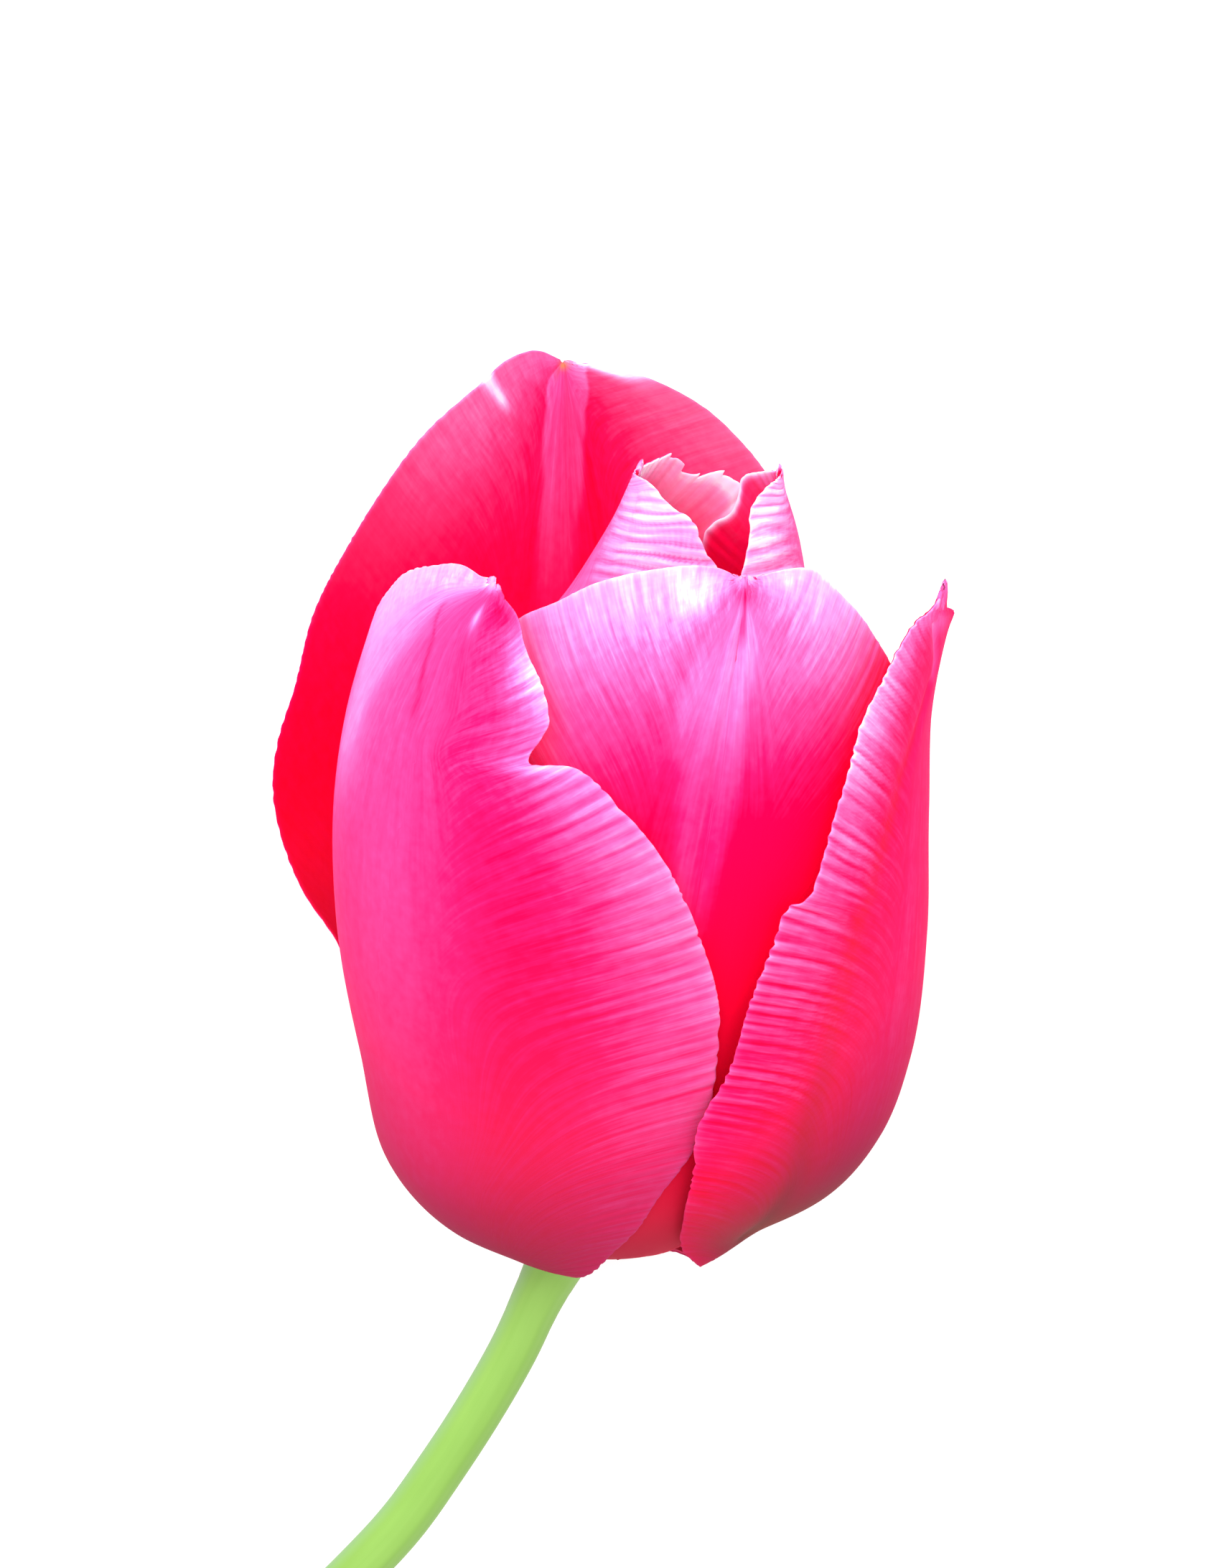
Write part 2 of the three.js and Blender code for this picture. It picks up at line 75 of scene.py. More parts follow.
# Petal lines as (azimuth, radius, height) about the bloom's axis, in degrees and millimetres
PETALS = {
    "petal_front_left": {
        "left": [
            (-100, 5.1, -1.4), (-105, 13.2, 1.7), (-107, 18.9, 7.8), (-108, 22.3, 17.7), (-109, 27, 32),
            (-106, 28.6, 45), (-97, 28.9, 54), (-86, 28.7, 60.2), (-74, 28.1, 64.9), (-61, 27.3, 68.3),
            (-51, 26.4, 69.6), (-42, 25.8, 68.6),
        ],
        "midrib": [
            (-48, 5.1, -1.4), (-52, 9, 0.2), (-54, 14.1, 2.3), (-55, 19.8, 7.5), (-55, 23.8, 17),
            (-55, 28.3, 30), (-54, 30.9, 44), (-51, 30.4, 57), (-46, 27.8, 66), (-42, 25.8, 68.6),
        ],
        "right": [
            (3, 5.1, -1.4), (9, 10, 0.2), (16, 16.5, 5.5), (20.5, 22.5, 14.1), (24, 25.1, 20.5),
            (22.6, 27.7, 28.6), (19, 29, 36), (13, 29.4, 42.2), (4.5, 29.6, 48.6), (-4, 29.6, 52.6),
            (-14, 29.6, 55.6), (-23, 29.4, 55), (-21, 28.4, 58.9), (-23.5, 28, 61.5), (-30, 27.3, 64.8),
            (-33, 26.8, 66.9), (-42, 25.8, 68.6),
        ],
    },
    "petal_front_right": {
        "left": [
            (89, 5.1, -0.9), (80, 8, 1.5), (68, 12, 2.7), (58, 14.8, 2.8), (49, 17, 3.9), (39, 17.4, 6),
            (29.5, 20.9, 11), (23.5, 25.6, 17.3), (20.5, 28, 23), (23.4, 28.9, 28), (25, 29.4, 35.5),
            (27.4, 29.5, 41.7), (29.4, 29.5, 45.3), (32.5, 29.5, 46), (34.8, 29, 49.1),
            (37.6, 28.5, 55.2), (40.3, 28, 63), (43.6, 27.5, 65.4), (49, 27, 69.5), (53.5, 26.8, 71.6),
            (62.5, 26.6, 72.8),
        ],
        "midrib": [
            (102, 5.1, -1.1), (94, 9, 0.6), (89, 13.7, 2.9), (86, 20.2, 7.7), (85, 25.4, 12.3),
            (84, 28.4, 18.5), (82, 29.6, 26), (80, 29, 38), (79, 27, 50), (78, 25.5, 60),
            (74, 25.6, 68), (62.5, 26.6, 72.8),
        ],
        "right": [
            (120, 5.1, -1.3), (121, 13.5, 1.4), (121, 21, 7.6), (121, 25.9, 17), (121, 27.4, 31),
            (118, 27, 44), (112, 25.9, 55), (101, 25.2, 64), (84, 25.6, 70), (62.5, 26.6, 72.8),
        ],
    },
    "petal_back": {
        "left": [
            (-126, 5.1, -1.4), (-124, 13.5, 1), (-121, 21, 8.2), (-116, 27, 17), (-112, 30.5, 23.3),
            (-109, 34, 27.7), (-107.7, 37.1, 33.1), (-106, 38.3, 39), (-107, 38.6, 42.5),
            (-110.5, 38.8, 47.3), (-113.5, 39, 54.5), (-119, 38.4, 61.5), (-124.4, 37.8, 67.3),
            (-131.3, 37, 73.3), (-138.5, 36.2, 77.9), (-144, 36, 81), (-149, 36, 82),
            (-153.7, 36, 81.2),
        ],
        "midrib": [
            (-177, 5.1, -1.4), (-175, 13.5, 1), (-172, 21, 7.6), (-169, 26.4, 17), (-165, 30.3, 31),
            (-161, 33.2, 46), (-157.5, 35.3, 60), (-155.6, 36, 71), (-153.7, 36, 81.2),
        ],
        "right": [
            (-228, 5.1, -1.4), (-229, 13.5, 1.2), (-229, 21, 8), (-229, 26, 18), (-227, 28.4, 32),
            (-217, 28.9, 46), (-208, 29.6, 57.9), (-198.5, 30.5, 69.3), (-191, 31.2, 74.2),
            (-185, 32.2, 76.6), (-179.7, 33.2, 78.4), (-168, 34.7, 80.7), (-153.7, 36, 81.2),
        ],
    },
    "petal_inner_front": {
        "left": [
            (-34, 4.2, 0.6), (-38, 11, 3.2), (-44, 17.2, 8.8), (-48, 22.2, 17.5), (-52, 25.4, 30),
            (-53, 25.8, 44), (-48, 24.6, 57), (-38.5, 23.2, 66.2), (-31, 23, 68.3), (-21, 23, 71.3),
            (-6.6, 23, 74), (0, 23, 74.8), (7, 22.8, 74.9), (12.8, 22.8, 74),
        ],
        "midrib": [
            (12, 4.2, 0.6), (12, 8, 1.7), (12, 11.5, 3.3), (12, 17.4, 9), (12, 22.4, 17.5),
            (12, 25.5, 30), (12, 26.2, 43), (12.5, 25.4, 56), (12.8, 23.8, 67), (12.8, 22.8, 74),
        ],
        "right": [
            (58, 4.2, 0.4), (62, 11, 2.9), (68, 17.2, 8.8), (71, 22.2, 17.5), (75, 25.4, 30),
            (75, 25.8, 44), (70, 24.6, 57), (57.6, 23.8, 66.6), (50.5, 23.6, 69.3), (39, 23.4, 73.1),
            (26.5, 23, 75.9), (20.5, 22.9, 75.4), (12.8, 22.8, 74),
        ],
    },
    "petal_inner_left": {
        "left": [
            (-168, 4.2, 0.6), (-168, 11, 3.4), (-168, 17.4, 9.5), (-169, 21.8, 19), (-172, 23, 32),
            (-177, 21.5, 45), (-187, 18, 57), (-198, 14, 67), (-203, 11.8, 73), (-200, 10.6, 76.4),
            (-191.5, 10, 77.4), (-173.5, 9.3, 76.9), (-158.5, 8.5, 78.7), (-135, 7.6, 78),
            (-104, 6.2, 77.4),
        ],
        "midrib": [
            (-118, 4.2, 0.6), (-118, 11, 3.4), (-118, 17.4, 9.5), (-118, 22, 19), (-118, 24, 32),
            (-115, 21.8, 44), (-110, 15.5, 57), (-105, 10.4, 66), (-102, 7.8, 72.5), (-104, 6.2, 77.4),
        ],
        "right": [
            (-72, 4.2, 0.6), (-72, 10.6, 4), (-68, 16.2, 9.9), (-66, 20.8, 19), (-63, 22.2, 32),
            (-58, 20, 45), (-44, 15.5, 56), (-22, 12, 64.5), (4, 10.4, 69.5), (16, 10, 71.6),
            (6.5, 9.5, 73.7), (-2.5, 9, 76), (-18, 8.5, 76.8), (-38.5, 7.8, 78.1), (-70, 7, 78),
            (-104, 6.2, 77.4),
        ],
    },
    "petal_inner_right": {
        "left": [
            (74, 4.2, 0.6), (73, 10.6, 4), (68, 15.8, 9.9), (64, 20.4, 19), (60, 22, 32),
            (57, 19.8, 45), (51, 15.4, 56), (41, 12.2, 65), (29.5, 10, 71.6), (32, 9.5, 73.1),
            (34, 9, 75.4), (34, 8.5, 77.5), (48, 8, 79.6), (68, 7.4, 80.1), (90, 6.8, 79.9),
        ],
        "midrib": [
            (120, 4.2, 0.6), (120, 11, 3.4), (120, 17.4, 9.5), (120, 22.6, 19), (119, 24.2, 32),
            (116, 21.8, 44), (110, 16.4, 57), (100, 12, 67.5), (92, 9.3, 75), (90, 6.8, 79.9),
        ],
        "right": [
            (170, 4.2, 0.6), (170, 11, 3.4), (170, 17.4, 9.5), (171, 21.6, 19), (173, 22.4, 32),
            (177, 20.2, 45), (182, 15.6, 56), (182, 11.3, 64), (173, 8.4, 69.5), (171, 8, 71.8),
            (165.5, 8, 72.8), (157, 8, 73.8), (153.5, 8, 75.5), (153, 8, 77.5), (133, 7.5, 79),
            (112, 7, 79.7), (90, 6.8, 79.9),
        ],
    },
}

# The stem seen from above, as (x, y) from the seat, and how it comes down to the surface, in mm
STEM_PLAN = [
    (0, 0), (-2.9, -5.6), (-5.5, -11.2), (-8.8, -17.1), (-12.6, -23.1), (-16.8, -29.1), (-21.4, -34.2),
    (-30.2, -42.8), (-44.2, -57.2), (-56.8, -72.9), (-67.2, -90.1), (-78.4, -115),
]
PLAN_STEPS = 40  # points between one place of the plan and the next
STEM_LANDING = 112  # how far along the stem it lies down
STEM_REST = 2.452  # height of the stem's middle line from there on
STEM_RADIUS = 2.5  # to scale its pattern
STEM_SIDES = 56
STEM_STEP = 0.9
CUT_ROWS = (0.3, 0.12, 0)  # the last rows, from the cut, and how much smaller the radius is there
CUT_BEVEL = (0.0, 0.05, 0.2)
RIBS = [(0.02, 7, 0.02, 0), (0.012, 12, -0.015, 1)]  # height, how many, twist per mm, and start
RIBS_FROM = 5  # how far down the stem they start
SWELL_WAVES, SWELL = (0.01, 0.05, 6), 0.02
STEM_SEED = 71
STEM_SLACK = 0.03  # the ribs and swellings lie this much deeper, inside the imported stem

# The receptacle, the widened top of the stem, as (distance along the stem, radius)
RECEPTACLE = [
    (0, 4.2), (0.5, 4.4), (1.1, 4.1), (1.8, 3.5), (2.6, 3.05), (4, 2.8), (6.5, 2.6), (9, 2.49),
]
SEAM = 0.3  # between the receptacle and the parts inside the cup

# The pistil as (height, radius, depth of its grooves)
PISTIL = [
    (0, 1.7, 0.1), (1.5, 1.9, 0.15), (5, 2.5, 0.2), (10, 2.7, 0.2), (15, 2.4, 0.2), (18, 2, 0.2),
    (19.2, 2.5, 0.45), (20.6, 3.7, 0.6), (21.6, 3.5, 0.65),
]

# A stamen as (distance out from the ring, height, half its width, half its depth)
STAMEN = [
    (0, 0.8, 0.5, 0.5), (0.3, 2.2, 0.75, 0.6), (1.4, 6, 0.6, 0.5), (2.3, 10.6, 0.35, 0.35),
    (2.4, 11.6, 0.4, 0.4), (2.5, 12, 0.85, 0.6), (2.8, 14, 1.15, 0.85), (3.2, 17.5, 1.1, 0.8),
    (3.5, 20, 0.75, 0.55), (3.6, 20.9, 0.3, 0.25),
]
STAMENS = 6
STAMEN_RING = 2.9  # radius of the ring that their feet stand on
RING_HALF = 0.6  # half the thickness of that ring
RING_STEPS, RING_SIDES = 72, 16

# How the veins run on a petal. "midrib": u of the midrib at the tip and at mid length. "fan": how far
# from the midrib, left and right, the veins start to turn to the margin. "climb": how steeply they
# climb to the left and right margins at mid length, and "tip_climb" near the tip. "lag": how far they
# run along the midrib before they leave it.
VEINS = {
    "petal_front_left": {"midrib": (0.34, 0.04), "fan": (0.62, 0.14), "climb": (0, 0.04),
                         "tip_climb": (0, 0.06), "lag": 0.1},
    "petal_front_right": {"midrib": (0, 0), "fan": (0.3, 0.3), "climb": (0, 0),
                          "tip_climb": (0.08, 0), "lag": 0.21},
    "petal_back": {"midrib": (0.1, 0.03), "fan": (0.12, 0.15), "climb": (0.3, 0.13),
                   "tip_climb": (0, -0.1), "lag": 0.27},
    "petal_inner_front": {"midrib": (0.04, 0), "fan": (0.15, 0.15), "climb": (0.09, 0.05),
                          "tip_climb": (0.05, 0.05), "lag": 0.17},
    "petal_inner_left": {"midrib": (0, 0), "fan": (0.2, 0.3), "climb": (0, -0.1),
                         "tip_climb": (0, -0.2), "lag": 0.12},
    "petal_inner_right": {"midrib": (0, 0), "fan": (0.12, 0.2), "climb": (-0.1, 0),
                          "tip_climb": (-0.14, 0), "lag": 0.05},
}
MIDRIB_FROM, MIDRIB_OVER = 0.45, 0.5  # v where the midrib starts to move over, and how long it takes
CLIMB_CHANGES = (0.55, 0.82)  # between these v the climb becomes that near the tip
FOOT_LAG, FOOT_LAG_ENDS = 0.45, (0.25, 0.55)  # more lag near the base
FAN_SOFTNESS = 0.22

# How strongly the veins show outside and inside, and where more, as (u, v, width in u, width in v, more)
STREAKS = {
    "petal_front_left": (0.1, 0.2, [(0.85, 0.5, 0.35, 0.4, 0.5), (0.95, 0.9, 0.3, 0.08, 0.4),
                                     (-0.7, 0.95, 0.5, 0.06, 0.35), (0.2, 0.85, 0.6, 0.12, 0.1),
                                     (0.15, 0.42, 0.35, 0.22, -0.07)]),
    "petal_front_right": (0.18, 0.2, [(-0.9, 0.6, 0.35, 0.4, 0.5)]),
    "petal_back": (0.4, 0.06, [(0, 0.92, 2.0, 0.14, 0.3)]),
    "petal_inner_front": (0.24, 0.2, [(-0.7, 0.9, 0.4, 0.14, 0.35), (0.7, 0.9, 0.4, 0.14, 0.3)]),
    "petal_inner_left": (0.4, 0.15, [(0.7, 0.87, 0.4, 0.1, 0.2)]),
    "petal_inner_right": (0.4, 0.15, [(-0.7, 0.87, 0.5, 0.1, 0.3)]),
}

# Soft spots of colour on a petal, as (u, v, width in u, width in v, paler, redder, painted shade, olive)
OUTSIDE_SPOTS = {
    "petal_front_left": [
        # Paler at the upper left: partly the petal's own pale margin, partly a painted highlight where
        # the light falls
        (-1.0, 0.86, 0.72, 0.16, 0.44, 0, 0, 0),
        (-0.42, 0.72, 0.2, 0.07, 0.24, 0, 0, 0),
        (-0.65, 0.965, 0.5, 0.03, 0.14, 0, 0, 0),
        (0.58, 0.48, 0.25, 0.4, -0.22, 0, 0, 0),
        (0.1, 0.58, 0.12, 0.16, 0.05, 0, 0, 0),
        (1.0, 0.62, 0.2, 0.22, 0.3, 0, 0, 0),
        (1.0, 0.58, 0.3, 0.12, -0.02, 0.4, 0, 0),
        (0.9, 0.36, 0.25, 0.08, 0.08, 0, 0, 0),
        (0.95, 0.775, 0.12, 0.02, 0.4, 0, 0, 0),
        (1.0, 0.895, 0.18, 0.045, 0.5, 0, 0, 0),
        (-0.3, 1.0, 0.9, 0.012, 0.4, 0, 0, 0),
        (0.4, 0.955, 0.07, 0.016, 0.5, 0, 0, 0),
        (0.8, 0.962, 0.16, 0.018, -0.2, 0.3, 0, 0),
        # Painted shade: the foot of the petal darker, where less light reaches
        (0.1, 0.0, 2.0, 0.395, -0.16, 0.05, 1.1, 0.04),
    ],
    "petal_front_right": [
        # Paler along the front margin: partly its own paler pink, partly painted light where it turns up
        # towards the light
        (-1.0, 0.86, 0.22, 0.12, 0.6, 0, 0, 0),
        (-1.0, 0.64, 0.24, 0.14, 0.22, 0, 0, 0),
        (-0.62, 0.55, 0.2, 0.4, 0, 0.5, 0, 0.03),
        (-1.0, 0.62, 0.2, 0.2, 0.02, 0.3, 0, 0),
        (-0.95, 0.25, 0.35, 0.2, 0, 0.8, 0, 0),
        (-1.0, 0.38, 0.3, 0.15, 0, 0, -0.4, 0),
        # Painted shade at the foot, and the olive of the next spot turns that shade brown
        (-0.35, 0.2, 0.95, 0.3, -0.05, 0, 1.25, 0),
        (-0.25, 0.22, 0.5, 0.09, 0, 0, 0, 0.3),
        (0.4, 0.35, 0.3, 0.2, 0, 0, 0, 0.05),
        (-0.2, 0.5, 0.3, 0.14, 0.04, -0.3, 0, 0),
        (-0.3, 0.97, 0.8, 0.025, 0.3, 0, 0, 0),
    ],
    # The first spot is painted shade at the foot of the back petal
    "petal_back": [(0, 0.05, 1.5, 0.25, 0, 0, 0.5, 0.2), (0, 0.97, 1.5, 0.06, 0.4, 0, 0, 0)],
    "petal_inner_front": [
        # Paler across the top: partly the petal's own pale tip, partly a painted highlight where the
        # light falls on it
        (0.0, 0.93, 3.0, 0.14, 0.46, 0, 0, 0),
        (-1.0, 0.85, 0.4, 0.17, 0.38, 0, 0, 0),
        (-0.85, 0.71, 0.4, 0.08, 0.3, 0, 0, 0),
        (1.0, 0.9, 0.35, 0.14, 0.36, 0, 0, 0),
        (-0.72, 0.948, 0.22, 0.025, 0.3, 0, 0, 0),
        (0.9, 0.955, 0.12, 0.02, 0.15, 0, 0, 0),
        (-0.25, 0.94, 0.22, 0.05, -0.16, 0, 0, 0),
        (-0.06, 0.62, 0.15, 0.09, 0.2, 0, 0, 0),
        (-0.6, 0.66, 0.3, 0.06, 0.1, 0, 0, 0),
        (0.5, 0.55, 1.5, 0.22, -0.25, 0.45, 0, 0),
        (0.3, 0.4, 1.5, 0.22, -0.05, 0.5, 0.1, 0),
        # Painted shade at the foot, deep in the gap between the outer petals
        (0.2, 0.1, 1.5, 0.17, -0.1, 0.6, 0.8, 0.05),
        (0.1, 0.985, 0.4, 0.012, -0.25, 0, 0, 0),
    ],
    "petal_inner_left": [
        (0.9, 0.89, 0.6, 0.14, 0.46, 0, 0, 0),
        (0.4, 0.9, 0.25, 0.06, -0.06, 0, 0, 0),
    ],
    "petal_inner_right": [
        (-1.0, 0.9, 0.45, 0.14, 0.5, 0, 0, 0),
        (-0.4, 0.9, 0.5, 0.14, 0.13, 0, 0, 0),
    ],
}
INSIDE_SPOTS = {
    "petal_back": [
        (-1.0, 0.9, 0.42, 0.2, 0.48, -0.3, 0, 0),
        (-0.5, 0.9, 0.4, 0.12, 0.16, -0.3, 0, 0),
        (1.0, 0.87, 0.45, 0.2, 0.45, 0, 0, 0.06),
        (-0.1, 0.985, 1.2, 0.03, 0.05, -0.3, 0, 0),
        # A painted highlight along the crease near the top left
        (-1.0, 0.914, 0.09, 0.007, 0.35, -0.3, 0, 0),
        (-0.82, 0.917, 0.15, 0.005, 0.5, -0.3, 0, 0),
        # Painted shade beside the olive dot at the tip
        (-0.3, 0.987, 0.2, 0.01, 0, 0, 0.5, 0.1),
        (0.2, 0.996, 0.7, 0.005, 0.1, 0, 0, 1.3),
        (1.0, 0.955, 0.08, 0.03, 0.9, -0.9, 0, 0),
        # Painted shade low on the inside, near the left margin
        (-1.0, 0.3, 0.6, 0.16, 0, 0, 0.5, 0),
    ],
    "petal_inner_left": [
        # Paler on this face to make up for the shade on it: painted light over its own salmon colour
        (-1.0, 0.89, 0.5, 0.11, 0.74, -0.2, 0, 0),
        (-1.0, 0.96, 0.35, 0.03, 0.35, -0.5, 0, 0),
        (-1.0, 0.82, 0.2, 0.02, 0.5, -0.5, 0, 0),
        (-1.0, 0.85, 0.06, 0.035, 0.5, -0.6, 0, 0),
        (-0.6, 0.985, 0.9, 0.02, 0.5, -0.8, 0, 0),
    ],
    "petal_inner_right": [
        (1.0, 0.96, 0.3, 0.03, 0.55, -1.1, 0, 0),
        (1.0, 0.88, 0.04, 0.08, 0.9, -0.9, 0, 0),
        (0.9, 0.9, 0.3, 0.07, 0.22, -0.2, 0, 0),
    ],
}
INSIDE_BASE = (0, 0.0, 3.0, 0.14, 0.6, -0.2, 0, 0.3)  # the pale foot of every petal's inner face

# Creases of the front right petal, from its foot to its tip, as (v, u)
LONG_CREASE = [
    (0.2, -0.52), (0.27, -0.6), (0.38, -0.65), (0.54, -0.68), (0.69, -0.65), (0.79, -0.55),
    (0.85, -0.39), (0.88, -0.3),
]
TIP_CREASE = [(0.9, -0.2), (0.912, -0.24), (0.96, -0.53)]

# Lines on a petal, as ([(v, u), ...] along it, width in u, paler, redder, painted shade, olive)
OUTSIDE_LINES = {
    "petal_front_left": [
        ([(0.84, 0.12), (0.866, 0.08), (0.91, -0.03), (0.937, -0.33)], 0.03, -0.14, 0, 0.05, 0),
    ],
    "petal_front_right": [
        # Painted shade along the long crease, where the fold turns away from the light
        (LONG_CREASE, 0.05, -0.06, 0, 0.12, 0.02),
        (TIP_CREASE, 0.1, 0.3, 0, 0, 0),
    ],
    "petal_inner_front": [
        ([(0.6, -0.04), (0.71, -0.06), (0.83, -0.08), (0.94, -0.07), (0.99, 0)], 0.035, 0.07, 0, 0, 0),
        ([(0.6, 0.07), (0.71, 0.06), (0.78, 0.05), (0.83, 0.07), (0.88, 0.1), (0.92, 0.15), (0.96, 0.2)],
         0.024, 0.06, 0, 0, 0),
        ([(0.95, 0.1), (0.975, 0.15), (0.995, 0.2)], 0.06, -0.3, 0, 0, 0),
    ],
}
LINE_START, LINE_END = 0.03, 0.012  # how much of v a line takes to fade in and out

# Bands on a petal, between two edges [(v, u), ...], as (left, right, softness, from v, to v, paler,
# redder, painted shade, olive)
OUTSIDE_BANDS = {
    "petal_front_left": [
        ([(0.7, -1.3), (0.99, -1.3)],
         [(0.7, -0.4), (0.753, -0.3), (0.785, -0.38), (0.827, -0.29), (0.878, -0.22), (0.911, -0.2),
          (0.944, -0.46)],
         0.1, 0.72, 0.8, 0.1, 0, 0, 0),
    ],
    "petal_inner_front": [
        ([(0.5, -0.06), (0.68, -0.08), (0.77, -0.14), (0.844, -0.29), (0.94, -0.4)],
         [(0.5, 0.05), (0.6, 0.06), (0.68, 0.08), (0.75, 0.1), (0.86, 0.14), (0.92, 0.28)],
         0.04, 0.45, 0.6, 0.12, -0.4, 0, 0),
    ],
}
INSIDE_BANDS = {
    "petal_back": [
        ([(0.6, -0.05), (0.76, -0.07), (0.87, -0.1), (0.905, -0.16), (0.945, -0.25), (0.97, -0.45)],
         [(0.6, 0.08), (0.76, 0.1), (0.826, 0.14), (0.905, 0.26), (0.941, 0.4), (0.971, 0.77),
          (0.985, 1.2)],
         0.04, 0.62, 0.9, 0.24, -0.5, 0, 0),
    ],
}
OUTSIDE_PALENESS = {"petal_inner_front": 0.06, "petal_front_left": 0.28, "petal_front_right": 0.15,
                    "petal_inner_left": 0.35, "petal_inner_right": 0.35}
PLAIN_PALENESS = 0.26
INSIDE_PALENESS = 0.06
RIM_PALENESS, RIM_WIDTH = 0.18, 0.012  # the thin rim, and how far it fades inwards, in u
TIP_FROM, TIP_FULL = 0.984, 0.994  # v of the whitish tip, which every petal but the back one has
TIP_OUTSIDE, TIP_INSIDE = (0.25, 0, 0, 0), (0.7, -1, 0, 0)

# Where cross wrinkles are strong, as (u, v, width in u, width in v, strength)
WRINKLES = {
    "petal_front_right": [(-0.95, 0.65, 0.28, 0.3, 0.9)],
    "petal_front_left": [(1.0, 0.6, 0.3, 0.3, 0.35), (0.95, 0.88, 0.2, 0.08, 0.3)],
    "petal_inner_left": [(0.95, 0.87, 0.35, 0.07, 0.9), (-0.9, 0.87, 0.25, 0.06, 0.1)],
    "petal_inner_right": [(-0.9, 0.88, 0.5, 0.09, 0.9)],
}
CLOSER_WRINKLES = {"petal_front_right": 1.3}  # how many times closer together than on the others

# Waves as (lowest and highest number per mm, how many are added up), and their height in mm
WRINKLE_WAVES, WRINKLE_HEIGHT = (0.6, 0.95, 7), 0.1
WRINKLE_LIMIT = 1.6
RIB_WAVES, RIB_HEIGHT = (0.5, 1.1, 9), 0.03
SWAY_WAVES, SWAY_HEIGHT = (0.05, 0.12, 5), 0.08
BEND_WAVES = (0.03, 0.2, 5)
UNEVEN_WAVES = (0.02, 0.1, 4)
FRINGE_WAVES = (0.5, 2.5, 5)

# Depth of the scallops along a petal's margins and of the teeth where its left margin is torn, height
# of the tatters at its tip, and spacing of scallops and teeth, in mm
SCALLOPS = {"petal_front_left": 0.28, "petal_front_right": 0.32, "petal_inner_front": 0.16,
            "petal_back": 0.05, "petal_inner_left": 0.25, "petal_inner_right": 0.2}
TEETH = {"petal_inner_left": 1.3}
TATTERS = {"petal_front_right": 1.3, "petal_front_left": 0.35, "petal_inner_left": 0.8,
           "petal_inner_front": 0.3, "petal_inner_right": 0.4}
SCALLOP_STEP = 1.5
TOOTH_STEP = 1.9
TEETH_FROM, TEETH_TO = (0.82, 0.9), (0.95, 0.97)  # v where the teeth come in, and where they end
TATTERS_FROM = 0.975

# Swellings and hollows of a petal, as (u, v, width in u, width in v, rise in mm)
RELIEF_SPOTS = {
    "petal_front_left": [
        (0.1, 0.6, 0.1, 0.35, 0.15),
        (0.35, 0.6, 0.1, 0.3, -0.2),
        (0.6, 0.55, 0.12, 0.3, 0.15),
    ],
    "petal_back": [(0.04, 0.85, 0.14, 0.2, 0.3), (-0.8, 0.916, 0.25, 0.008, 0.35)],
}

# Folds along a line of a petal, as ([(v, u), ...], width in u, rise in mm)
FOLDS = {
    "petal_front_right": [(LONG_CREASE, 0.08, -0.35), (TIP_CREASE, 0.1, -0.35)],
    "petal_inner_front": [
        ([(0.6, 0.02), (0.8, 0.0), (0.88, 0.02), (0.95, 0.05)], 0.025, -0.15),
        ([(0.6, -0.04), (0.71, -0.06), (0.83, -0.08), (0.94, -0.07)], 0.03, 0.1),
        ([(0.6, 0.07), (0.71, 0.06), (0.83, 0.07), (0.92, 0.15)], 0.03, 0.1),
    ],
    "petal_inner_left": [([(0.8, 0.5), (0.87, 0.55), (0.93, 0.85)], 0.06, -0.3)],
}

# Colours as (place on a scale from 0 to 1, screen values): from plain to pale on the petals, and from
# the foot to the top, 22 mm up, on the parts inside the cup
OUTSIDE_COLOURS = [
    (0.0, (255, 0, 78)), (0.15, (255, 22, 104)), (0.35, (255, 64, 142)), (0.55, (255, 101, 178)),
    (0.75, (255, 146, 214)), (0.9, (255, 185, 238)), (1.0, (255, 224, 252)),
]
INSIDE_COLOURS = [
    (0.0, (250, 0, 46)), (0.2, (255, 8, 82)), (0.4, (255, 53, 112)), (0.6, (255, 93, 144)),
    (0.8, (255, 138, 184)), (1.0, (255, 210, 226)),
]
# Painted shade: the colour that the petals darken towards, at their feet and in the hollows between them
PAINTED_SHADE_COLOUR = (104, 38, 62)
OLIVE_COLOUR = (196, 122, 56)
STEM_COLOURS = [(0.2, (124, 167, 70)), (0.8, (143, 186, 88))]
# Painted shade: a bluish, darker band down one side of the stem
STEM_SHADE_COLOUR = (126, 168, 112)
STEM_SHADE = [(0.6, 0), (0.7, 0.7), (0.76, 0.7), (0.86, 0)]  # how strong it is, by the way round the stem
PISTIL_COLOURS = [(0.0, (206, 214, 150)), (0.8, (186, 206, 116)), (0.9, (226, 222, 150))]
STAMEN_COLOURS = [
    (0.0, (238, 226, 150)), (0.3, (120, 60, 90)), (0.52, (60, 32, 60)), (0.57, (48, 34, 58)),
]
SPECKLE_COLOUR = (60, 40, 40)
CUP_HEIGHT = 22


def hermite(x, start, leave, end, arrive):
    """Smooth curve from start to end as x runs from 0 to 1, with its slopes there."""
    return (
        (2 * x**3 - 3 * x**2 + 1) * start + (x**3 - 2 * x**2 + x) * leave
        + (3 * x**2 - 2 * x**3) * end + (x**3 - x**2) * arrive
    )


def read_curve(marks, values, tangents, at):
    """A smooth curve through values at rising marks, read at other marks."""
    widths = np.diff(marks)
    i = np.clip(np.searchsorted(marks, at, side="right") - 1, 0, len(widths) - 1)
    width = widths[i][:, None]
    x = (at - marks[i])[:, None] / width
    return hermite(x, values[i], width * tangents[i], values[i + 1], width * tangents[i + 1])


